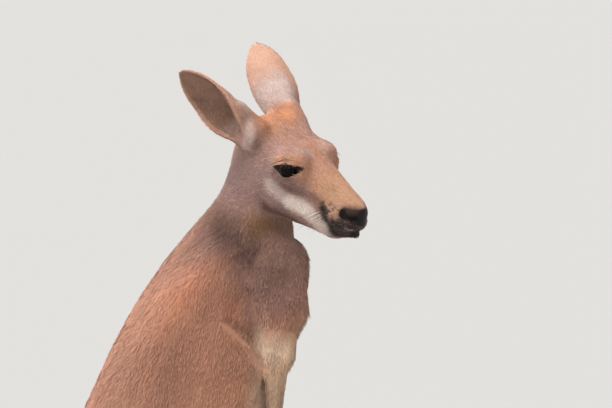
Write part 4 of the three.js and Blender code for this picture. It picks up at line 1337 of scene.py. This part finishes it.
class KangarooColours(PropertyGroup):
    back: colour_property("Back", "Back and rump", (198, 144, 118))
    flank: colour_property("Flank", "Sides and thighs", (190, 136, 108))
    belly: colour_property("Belly", "Belly and inner legs", (216, 184, 158))
    shoulder: colour_property("Shoulder", "Neck sides and shoulders", (146, 110, 100))
    nape: colour_property("Nape", "Back of the neck", (188, 140, 120))
    rust: colour_property("Rust", "Warm spots on the back", (204, 128, 86))
    # dark marks of the coat, and painted shade under the head, under the jaw and in the folds by
    # the arms
    dark_coat_and_shade: colour_property("Dusk", "Dark shading", (98, 70, 60))
    face: colour_property("Face", "Forehead and temples", (194, 152, 138))
    cheek: colour_property("Cheek", "Cheeks", (158, 126, 120))
    throat: colour_property("Throat", "Throat", (150, 112, 78))
    brow_rust: colour_property("Brow", "Between the ears", (220, 154, 110))
    bridge: colour_property("Bridge", "Bridge of the nose", (212, 158, 130))
    muzzle_top: colour_property("Muzzle", "Top and sides of the muzzle", (208, 160, 126))
    stripe: colour_property("Stripe", "Pale stripe along the cheek", (250, 232, 222))
    lips: colour_property("Lips", "Lips and chin", (42, 31, 28))
    nose: colour_property("Nose", "Bare skin of the nose", (26, 20, 20))
    forearm: colour_property("Forearm", "Inside of the arms", (224, 196, 168))
    paw: colour_property("Paws", "Hands and feet", (92, 70, 60))
    ear_back: colour_property("Ear back", "Outside of the ears", (224, 176, 150))
    ear_pale: colour_property("Ear pale", "Middle of the ears' outside", (232, 208, 200))
    ear_inside: colour_property("Ear inside", "Inside of the ears", (170, 132, 112))
    claw: colour_property("Claws", "Claws", (46, 38, 34))
    eye: colour_property("Eyes", "Iris", (14, 9, 7))


class KangarooStage(PropertyGroup):
    azimuth: angle_property("Azimuth", "From the animal's right side towards its front", -12)
    elevation: angle_property("Elevation", "Camera above the level", 7)
    distance: length_property("Distance", "Camera to the middle of the view", 6.0, 0.5, 50)
    scale: length_property("Width of a pixel", "At the middle of the view", 0.00142)
    sensor: FloatProperty(name="Sensor", description="Sensor width in millimetres", default=36)
    floor: length_property("Floor", "Half the side of the floor", 40.0, 1.0, 200.0)


class KangarooSettings(PropertyGroup):
    skin: PointerProperty(type=KangarooSkin)
    coat: PointerProperty(type=KangarooCoat)
    colours: PointerProperty(type=KangarooColours)
    stage: PointerProperty(type=KangarooStage)


def settings(context):
    return context.scene.kangaroo


def palette_of(context):
    colours = settings(context).colours
    names = KangarooColours.__annotations__
    return {name: from_screen(getattr(colours, name)) for name in names}


FLESH = [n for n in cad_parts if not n.startswith(("claw_", "eye_"))]
SKIN = "skin"


# ---- pieces ---------------------------------------------------------------------------------
class KANGAROO_OT_skin(Operator):
    """One closed skin for the whole animal, inside its solids by the depth of the coat"""

    bl_idname = "kangaroo.skin"
    bl_label = "Skin"

    def execute(self, context):
        s = settings(context).skin
        body = whole_body()
        depths = s.body_depth / MM, s.face_depth / MM

        def field(p, size):
            d = body.in_blocks(p, size * 1.1)
            flat = p.reshape(-1, 3)
            d += coat_depth(flat, *depths).reshape(d.shape)
            return np.maximum(d, 0.4 - p[..., 2])  # clear of the floor

        cell = s.cell / MM * 1
        grid = FineGrid(cell, s.head_cell / s.cell)
        points, quads = surface_net(field, grid, *WHOLE_BOX)
        points = smoothed(points, quads, 1)
        points[:, 2] = np.maximum(points[:, 2], FLOOR_GAP)
        me = new_mesh(SKIN, in_frame(points), quads)
        ob = new_object(SKIN, me)
        self.thin_out(ob, points, min(1.0, s.faces / (2 * len(quads))))
        me = baked(ob, SKIN)
        ob.vertex_groups.clear()
        me.shade_smooth()
        self.colour(context, me)
        me.materials.append(skin_surface())
        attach(ob, "root")
        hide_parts(*FLESH)
        return {"FINISHED"}

    def thin_out(self, ob, points, share):
        """Leaves a share of the faces, most of them on the head, the hands and the feet."""
        fine = ob.vertex_groups.new(name="fine")
        high = ease(points[:, 2], 1000, 1060)
        foot = 1 - ease(points[:, 2], 60, 100)
        hand = ease(points[:, 0], 70, 90) * (1 - ease(points[:, 2], 660, 700))
        hand *= ease(points[:, 2], 560, 590)
        weight = np.maximum.reduce([high, foot * 0.6, hand * 0.8])
        for level in np.arange(1, 11) / 10:
            chosen = np.flatnonzero(np.abs(weight - level) < 0.05)
            if len(chosen):
                fine.add(chosen.tolist(), float(level), "REPLACE")
        mod = ob.modifiers.new("Fewer faces", "DECIMATE")
        mod.ratio = share
        mod.vertex_group = "fine"
        mod.invert_vertex_group = True
        mod.vertex_group_factor = 0.6

    def colour(self, context, me):
        points, normals = in_layout(read_points(me)), read_normals(me)
        colour = markings(points, normals, palette_of(context))
        bare, rim = bareness(points)
        colour = towards(colour, from_screen((0.07, 0.05, 0.05)), rim * 0.96)
        write_attribute(me, "coat_colour", "FLOAT_COLOR", np.c_[colour, np.ones(len(colour))])
        write_attribute(me, "bare", "FLOAT", bare)


def lie_attributes(me, points, normals):
    """Writes what the tufts need on a stretch of skin. Returns each point's region."""
    way, region, facts = lie_of_coat(points, normals)
    across = np.cross(normals, way)
    swirl = 0.2 * noise(points, 42, 21) + 0.12 * noise(points, 10, 22)
    way = way + across * swirl[:, None]
    way /= np.linalg.norm(way, axis=1)[:, None]
    rows = noise(points, (20, 20, 3.6), 23)
    length, width, count, lift = facts.T
    bare, _ = bareness(points)
    count = count * (1 - ease(bare, 0.2, 0.6))
    write_attribute(me, "lie", "FLOAT_VECTOR", way)
    write_attribute(me, "hair_length", "FLOAT", length * MM)
    write_attribute(me, "hair_width", "FLOAT", width * MM)
    write_attribute(me, "hair_count", "FLOAT", count * 1e4)
    write_attribute(me, "hair_lift", "FLOAT", lift * (1 + 0.35 * rows))
    return region


PLANTED = ("lie", "hair_length", "hair_width", "hair_count", "hair_lift", "coat_colour")
SWAY = (0.12, 0.45, 0.28)  # how far a tuft may turn about its own axes, in radians
COATS = [  # piece, its regions, side (1 left, -1 right, 0 both), material slot
    ("coat_head_right", ("head",), -1, "face_coat"),
    ("coat_head_left", ("head",), 1, "face_coat"),
    ("coat_ears", ("ear",), 0, "ear_coat"),
    ("coat_neck", ("neck",), 0, "body_coat"),
    ("coat_back_right", ("back",), -1, "body_coat"),
    ("coat_back_left", ("back",), 1, "body_coat"),
    ("coat_front_right", ("front",), -1, "body_coat"),
    ("coat_front_left", ("front",), 1, "body_coat"),
    ("coat_arms", ("arm",), 0, "body_coat"),
    ("coat_leg_right", ("leg",), -1, "body_coat"),
    ("coat_leg_left", ("leg",), 1, "body_coat"),
    ("coat_tail", ("tail",), 0, "body_coat"),
    ("coat_paws", ("hand", "foot"), 0, "paw_coat"),
]


def unwrapped(ob):
    """Gives the stretch of skin a flat map of its own shape."""
    bpy.context.view_layer.objects.active = ob
    ob.select_set(True)
    bpy.ops.object.mode_set(mode="EDIT")
    bpy.ops.mesh.select_all(action="SELECT")
    bpy.ops.uv.smart_project(angle_limit=math.radians(72), island_margin=0.002)
    bpy.ops.object.mode_set(mode="OBJECT")
    ob.select_set(False)
    ob.data.uv_layers.active.name = "unwrap"


def bake_map(me, patch_size=0.003):
    """A small patch for each tuft at its root's place on the unwrap."""
    root = read(me.attributes["unwrap"].data, "vector", 2)
    place = [read(me.attributes[name].data, "value", 1) for name in ("across", "along")]
    uv = root + patch_size * (np.hstack(place) - 0.5)
    loops = read(me.loops, "vertex_index", 1, np.int32)[:, 0]
    drop_attributes(me, "unwrap", "across", "lie", "out")
    layer = me.uv_layers.new(name="OFBake")
    layer.data.foreach_set("uv", np.clip(uv, 0, 1)[loops].reshape(-1))
    layer.active = layer.active_render = True


def facts_for_tufts(skin):
    """What the tufts take from the skin: (kind, values) by name. Only the colours stay on it."""
    facts = {}
    for name in PLANTED:
        at = skin.attributes[name]
        facts[name] = at.data_type, read(at.data, *FIELDS[at.data_type])
    drop_attributes(skin, "lie")
    return facts


class KANGAROO_OT_coat(Operator):
    """Tufts over the skin, one piece for each stretch of the body"""

    bl_idname = "kangaroo.coat"
    bl_label = "Coat"

    def execute(self, context):
        s = settings(context).coat
        skin = bpy.data.objects[SKIN].data
        points, normals = read_points(skin), read_normals(skin)
        layout = in_layout(points)
        skin.calc_loop_triangles()
        tris = read(skin.loop_triangles, "vertices", 3, np.int32)
        region = lie_attributes(skin, layout, normals)
        facts = facts_for_tufts(skin)
        middle = layout[tris].mean(1)
        side = np.where(middle[:, 1] > 0, 1, -1)
        head_side = np.where(HEAD.local(middle)[:, 1] > 0, 1, -1)
        owner = np.median(region[tris], axis=1).astype(int)
        a, b, c = (points[tris[:, i]] for i in range(3))
        area = np.linalg.norm(np.cross(b - a, c - a), axis=1) / 2
        tuft = tuft_template("tuft", [(0, 0.5, -0.03), (0.5, 0.42, 0.2), (1.0, 0, 0.24)])
        tree = hair_tree("Tufts on a surface", True)
        finishes = {
            "body_coat": coat_surface("body_fur", 0.8, 1.04, 0.14, 0.15),
            "face_coat": coat_surface("face_fur", 0.76, 1.06, 0.35, 0.26),
            "ear_coat": coat_surface("ear_fur", 0.8, 1.05, 0.5),
            "paw_coat": coat_surface("paw_fur", 0.7, 1.06, 0.15),
        }
        for number, (name, regions, wanted, slot) in enumerate(COATS):
            mine = np.isin(owner, [REGIONS.index(r) for r in regions])
            if wanted:
                mine &= (head_side if "head" in regions else side) == wanted
            used, faces = np.unique(tris[mine], return_inverse=True)
            ob = new_object(name, new_mesh(name, points[used], faces.reshape(-1, 3)))
            for label, (kind, values) in facts.items():
                write_attribute(ob.data, label, kind, values[used])
            unwrapped(ob)
            count = facts["hair_count"][1][tris[mine], 0].mean(1) @ area[mine]
            crowding = s.crowding * min(1.0, s.most / count) * 1
            me = plant(
                ob, tree, Tuft=tuft, Width=s.width, Length=s.length, Lift=s.lift,
                Crowding=crowding, Spread=SWAY, Seed=s.seed + number * 10,
                Material=finishes[slot],
            )
            bake_map(me)
            self.lift_off_floor(me)
            me.shade_smooth()
            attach(ob, "root")
        bpy.data.objects.remove(tuft)
        return {"FINISHED"}

    def lift_off_floor(self, me):
        co = read_points(me)
        co[:, 2] = np.maximum(co[:, 2], FLOOR_GAP * MM)
        me.vertices.foreach_set("co", co.astype(F).reshape(-1))


class KANGAROO_OT_eyes(Operator):
    """Dark eyeballs, a little fuller in front, behind the lids"""

    bl_idname = "kangaroo.eyes"
    bl_label = "Eyes"

    def execute(self, context):
        mat = self.eye_surface(context)
        for side, s in SIDES:
            centre, axes = eye_place(s)
            rings, share = [], []
            for a in np.linspace(0.02, math.pi - 0.02, 40):
                r = EYE_RADIUS - 0.35 + 0.3 * math.exp(-((a / 0.6) ** 2))
                ring = []
                for b in np.linspace(0, 2 * math.pi, 48, endpoint=False):
                    v = (math.cos(a), math.sin(a) * math.cos(b), math.sin(a) * math.sin(b))
                    ring.append(centre + axes @ (np.array(v) * r))
                rings.append(ring)
                share += [a / math.pi] * 48
            points, faces = loft(rings)
            me = new_mesh(f"eyeball_{side}", in_frame(points), faces)
            write_attribute(me, "ring", "FLOAT", share + [0.0, 1.0])
            me.materials.append(mat)
            ob = new_object(f"eyeball_{side}", me)
            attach(ob, "root")
            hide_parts(f"eye_{side}")
        return {"FINISHED"}

    def eye_surface(self, context):
        mat, t, shader = surface("eye")
        ring = attribute(t, "ring")["Fac"]
        iris = from_screen(settings(context).colours.eye)
        place = t.node("ShaderNodeTexCoord").outputs["Object"]
        fibres = t.node("ShaderNodeTexNoise", {"Vector": place, "Scale": 900.0, "Detail": 3.0})
        pupil = [(0.0, (0.003, 0.002, 0.002)), (0.09, (0.004, 0.003, 0.002))]
        rest = [(0.31, (0.004, 0.003, 0.003)), (0.5, (0.006, 0.005, 0.004))]
        bands = ramp(t, ring, [*pupil, (0.12, tuple(iris)), (0.27, tuple(iris * 0.6)), *rest])
        grey = ramp(t, fibres.outputs["Fac"], [(0.3, 0.6), (0.7, 1.2)])
        give(t, shader, Base_Color=times(t, bands, grey), Roughness=0.18)
        give(t, shader, Specular_IOR_Level=0.04, Coat_Weight=0.1, Coat_Roughness=0.05)
        return mat


def toe_claws(s):
    """(claw, its root, its point, its radius) of one foot."""
    return [
        ("long", (278, s * 97.5, 14), (310, s * 99, 3), 8),
        ("outer", (219, s * 125, 10), (239, s * 129, 3), 5.5),
        ("pair_a", (198, s * 66.5, 9), (214, s * 65, 3), 3.2),
        ("pair_b", (198, s * 73.5, 9), (214, s * 73, 3), 3.2),
    ]


def claw_shape(root, tip, radius, sag=0.12, sides=16, steps=14):
    """A tapering horn that bends towards the ground, with faint rings and a flatter underside."""
    root, tip = np.array(root, float), np.array(tip, float)
    along = tip - root
    e1 = unit(np.cross(along, (0, 0, 1)))
    e2 = unit(np.cross(e1, along))
    rings = []
    for t in np.linspace(0, 0.985, steps):
        centre = root + along * t + e2 * (sag * np.linalg.norm(along) * math.sin(math.pi * t))
        r = radius * (1 - t) ** 0.7 * (1 + 0.025 * math.sin(t * 38))
        ring = []
        for a in np.linspace(0, 2 * math.pi, sides, endpoint=False):
            low = 0.8 if math.sin(a) < 0 else 1.0
            ring.append(centre + r * (e1 * math.cos(a) * 0.75 + e2 * math.sin(a) * low))
        rings.append(ring)
    return loft(rings)


class KANGAROO_OT_claws(Operator):
    """Horn claws on the fingers and toes"""

    bl_idname = "kangaroo.claws"
    bl_label = "Claws"

    def execute(self, context):
        mat = self.horn(context)
        for side, s in SIDES:
            for name, root, tip, radius in toe_claws(s):
                self.make(f"{name}_{side}", claw_shape(root, tip, radius), mat)
            knuckles = np.array(ARMS[side][4], float)
            for i in range(5):
                root, end = finger_line(s, knuckles, i)
                tip = end + unit(end - root) * 17 + (-5, 0, 0)
                self.make(f"hand_{side}_{i + 1}", claw_shape(end, tip, 3.4), mat)
        return {"FINISHED"}

    def make(self, name, shape, mat):
        points, faces = shape
        me = new_mesh(f"horn_{name}", in_frame(points), faces)
        me.materials.append(mat)
        ob = new_object(f"horn_{name}", me)
        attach(ob, "root")
        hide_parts(f"claw_{name}")

    def horn(self, context):
        mat, t, shader = surface("horn")
        colour = from_screen(settings(context).colours.claw)
        place = t.node("ShaderNodeTexCoord").outputs["Object"]
        stretched = t.node("ShaderNodeMapping", {"Vector": place, "Scale": (60.0, 900.0, 900.0)})
        streaks = t.node("ShaderNodeTexNoise", {"Vector": stretched.outputs[0], "Detail": 4.0})
        streaks = streaks.outputs["Fac"]
        shade = ramp(t, streaks, [(0.3, tuple(colour * 0.5)), (0.75, tuple(colour * 2.2))])
        bump = t.node("ShaderNodeBump", {"Strength": 0.3, "Distance": 0.0004, "Height": streaks})
        give(t, shader, Base_Color=shade, Roughness=0.38, Normal=bump.outputs["Normal"])
        give(t, shader, Specular_IOR_Level=0.5)
        return mat


class KANGAROO_OT_whiskers(Operator):
    """Whiskers on the lips, cheeks and brows, and eyelashes"""

    bl_idname = "kangaroo.whiskers"
    bl_label = "Whiskers and lashes"

    def execute(self, context):
        s = settings(context).coat
        rows = [(0, 0.5, 0), (0.25, 0.45, 0.1), (0.5, 0.36, 0.16), (0.75, 0.22, 0.18), (1, 0, 0.16)]
        hair = tuft_template("whisker", rows, sides=3)
        tree = hair_tree("Hairs at points", False)
        mat, t, shader = surface("whisker_hair")
        root, tip = (0.012, 0.01, 0.009), (0.07, 0.05, 0.042)
        shade = ramp(t, attribute(t, "along")["Fac"], [(0, root), (1, tip)])
        give(t, shader, Base_Color=shade, Roughness=0.4)
        skin = read_points(bpy.data.objects[SKIN].data)
        normals = read_normals(bpy.data.objects[SKIN].data)
        near = np.flatnonzero(in_layout(skin)[:, 2] > 980)
        for piece, roots in (("whiskers", self.whiskers(s)), ("lashes", self.lashes(s))):
            where = np.array([r[0] for r in roots])
            gap = np.linalg.norm(skin[near][None] - in_frame(where)[:, None], axis=2)
            at = near[gap.argmin(1)]
            me = bpy.data.meshes.new(piece)
            me.vertices.add(len(at))
            me.vertices.foreach_set("co", skin[at].astype(F).reshape(-1))
            out = normals[at]
            way = np.array([unit(r[1]) for r in roots])
            write_attribute(me, "out", "FLOAT_VECTOR", out * 0.6 + (0, 0, 0.4))
            write_attribute(me, "lie", "FLOAT_VECTOR", way * 0.7 + out * 0.5)
            write_attribute(me, "hair_length", "FLOAT", [r[2] * MM for r in roots])
            write_attribute(me, "hair_width", "FLOAT", [r[3] * MM for r in roots])
            write_attribute(me, "hair_lift", "FLOAT", np.ones(len(at)))
            ob = new_object(piece, me)
            plant(
                ob, tree, Tuft=hair, Width=1.0, Length=1.0, Lift=1.0, Crowding=1.0,
                Spread=(0.1, 0.2, 0.12), Seed=s.seed + 400, Material=mat,
            )
            ob.data.shade_smooth()
            drop_attributes(ob.data)
            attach(ob, "root")
        bpy.data.objects.remove(hair)
        return {"FINISHED"}

    def whiskers(self, s):
        """(root, way, length, thickness) in the layout's millimetres."""
        roots = []
        for sign in (1, -1):
            back = HEAD.axes @ np.array((-0.75, sign * 0.55, -0.35))
            for row in range(4):
                for k in range(6):
                    at = HEAD.point((192 - k * 6.5 - row, sign * 24, 2 - row * 6.5))
                    long = s.whisker / MM * (0.45 + 0.13 * k)
                    roots.append((at, back, long, 0.3))
            brow = HEAD.axes @ np.array((-0.3, sign * 0.5, 0.8))
            for k in range(4):
                roots.append((HEAD.point((92 + k * 4, sign * 46, 52)), brow, 24 + 3 * k, 0.36))
            cheek = HEAD.axes @ np.array((-0.5, sign * 0.7, -0.5))
            for k in range(3):
                roots.append((HEAD.point((70 - k * 5, sign * 50, -18)), cheek, 26, 0.36))
        return roots

    def lashes(self, s):
        body, roots = whole_body(), []
        for sign in (1, -1):
            m = HEAD.axes @ eye_axes(sign)
            line = np.array(lid_line(body, sign, True, 0.3, 1.5))
            for k in np.linspace(2.5, 10.5, 24):
                i = int(k)
                at = line[i] + (line[i + 1] - line[i]) * (k - i)
                way = m @ np.array((0.9, 0.3 * (k - 6) / 6, 0.3))
                roots.append((at, way, s.lash / MM * (1 - 0.05 * abs(k - 6)), 0.4))
        return roots


IMAGE_WIDTH = 612  # in pixels
VIEWED = (0.163, 1.055)  # middle of the view: to the camera's right of the hips, and its height


class KANGAROO_OT_stage(Operator):
    """A pale floor, soft studio light and the camera"""

    bl_idname = "kangaroo.stage"
    bl_label = "Stage"

    def execute(self, context):
        s = settings(context).stage
        half = s.floor
        corners = np.array([(-half, -half, 0), (half, -half, 0), (half, half, 0), (-half, half, 0)])
        me = new_mesh("floor", corners, np.array([[0, 1, 2, 3]]))
        mat, t, shader = surface("floor")
        give(t, shader, Base_Color=(0.47, 0.465, 0.455, 1), Roughness=0.9)
        me.materials.append(mat)
        new_object("floor", me)
        world = bpy.data.worlds.new("studio")
        world.use_nodes = True
        world.node_tree.nodes["Background"].inputs["Color"].default_value = (1, 0.98, 0.95, 1)
        world.node_tree.nodes["Background"].inputs["Strength"].default_value = 0.6
        context.scene.world = world
        self.lamp("key", (-1.4, -0.9, 3.4), 50, 2.8)
        self.lamp("rim", (-2.8, 1.6, 1.8), 40, 1.3)
        context.scene.view_settings.view_transform = "Standard"
        a, e = s.azimuth, s.elevation
        right = np.array((math.cos(a), math.sin(a), 0))
        back = np.array((math.sin(a) * math.cos(e), -math.cos(a) * math.cos(e), math.sin(e)))
        target = right * VIEWED[0] + (FORWARD * MM, 0, VIEWED[1])
        data = bpy.data.cameras.new("camera")
        data.sensor_width = s.sensor
        data.lens = s.sensor * s.distance / (IMAGE_WIDTH * s.scale)
        data.clip_end = 200
        camera = new_object("camera", data)
        camera.location = target + back * s.distance
        camera.rotation_euler = Vector(back).to_track_quat("Z", "Y").to_euler()
        context.scene.camera = camera
        return {"FINISHED"}

    def lamp(self, name, way, spread, power):
        """A wide, soft light from far off along way."""
        data = bpy.data.lights.new(name, "SUN")
        data.angle = math.radians(spread)
        data.energy = power
        ob = new_object(name, data)
        ob.rotation_euler = Vector(way).to_track_quat("Z", "Y").to_euler()


class KANGAROO_PT_sidebar(Panel):
    """Sizes, colours and buttons for the kangaroo"""

    bl_label = "Red Kangaroo"
    bl_idname = "KANGAROO_PT_sidebar"
    bl_space_type = "VIEW_3D"
    bl_region_type = "UI"
    bl_category = "Kangaroo"

    def draw(self, context):
        s = settings(context)
        for title in ("Skin", "Coat", "Colours", "Stage"):
            group = getattr(s, title.lower())
            box = self.layout.box()
            box.label(text=title)
            for name in type(group).__annotations__:
                box.prop(group, name)
        for op in OPERATORS:
            self.layout.operator(op.bl_idname)


OPERATORS = (
    KANGAROO_OT_skin,
    KANGAROO_OT_coat,
    KANGAROO_OT_eyes,
    KANGAROO_OT_claws,
    KANGAROO_OT_whiskers,
    KANGAROO_OT_stage,
)
CLASSES = (
    KangarooSkin,
    KangarooCoat,
    KangarooColours,
    KangarooStage,
    KangarooSettings,
    *OPERATORS,
    KANGAROO_PT_sidebar,
)


def register():
    for cls in CLASSES:
        bpy.utils.register_class(cls)
    bpy.types.Scene.kangaroo = PointerProperty(type=KangarooSettings)


def unregister():
    del bpy.types.Scene.kangaroo
    for cls in reversed(CLASSES):
        bpy.utils.unregister_class(cls)


def main():
    register()
    bpy.ops.kangaroo.skin()
    bpy.ops.kangaroo.coat()
    bpy.ops.kangaroo.eyes()
    bpy.ops.kangaroo.claws()
    bpy.ops.kangaroo.whiskers()
    bpy.ops.kangaroo.stage()


if __name__ == "__main__":
    main()
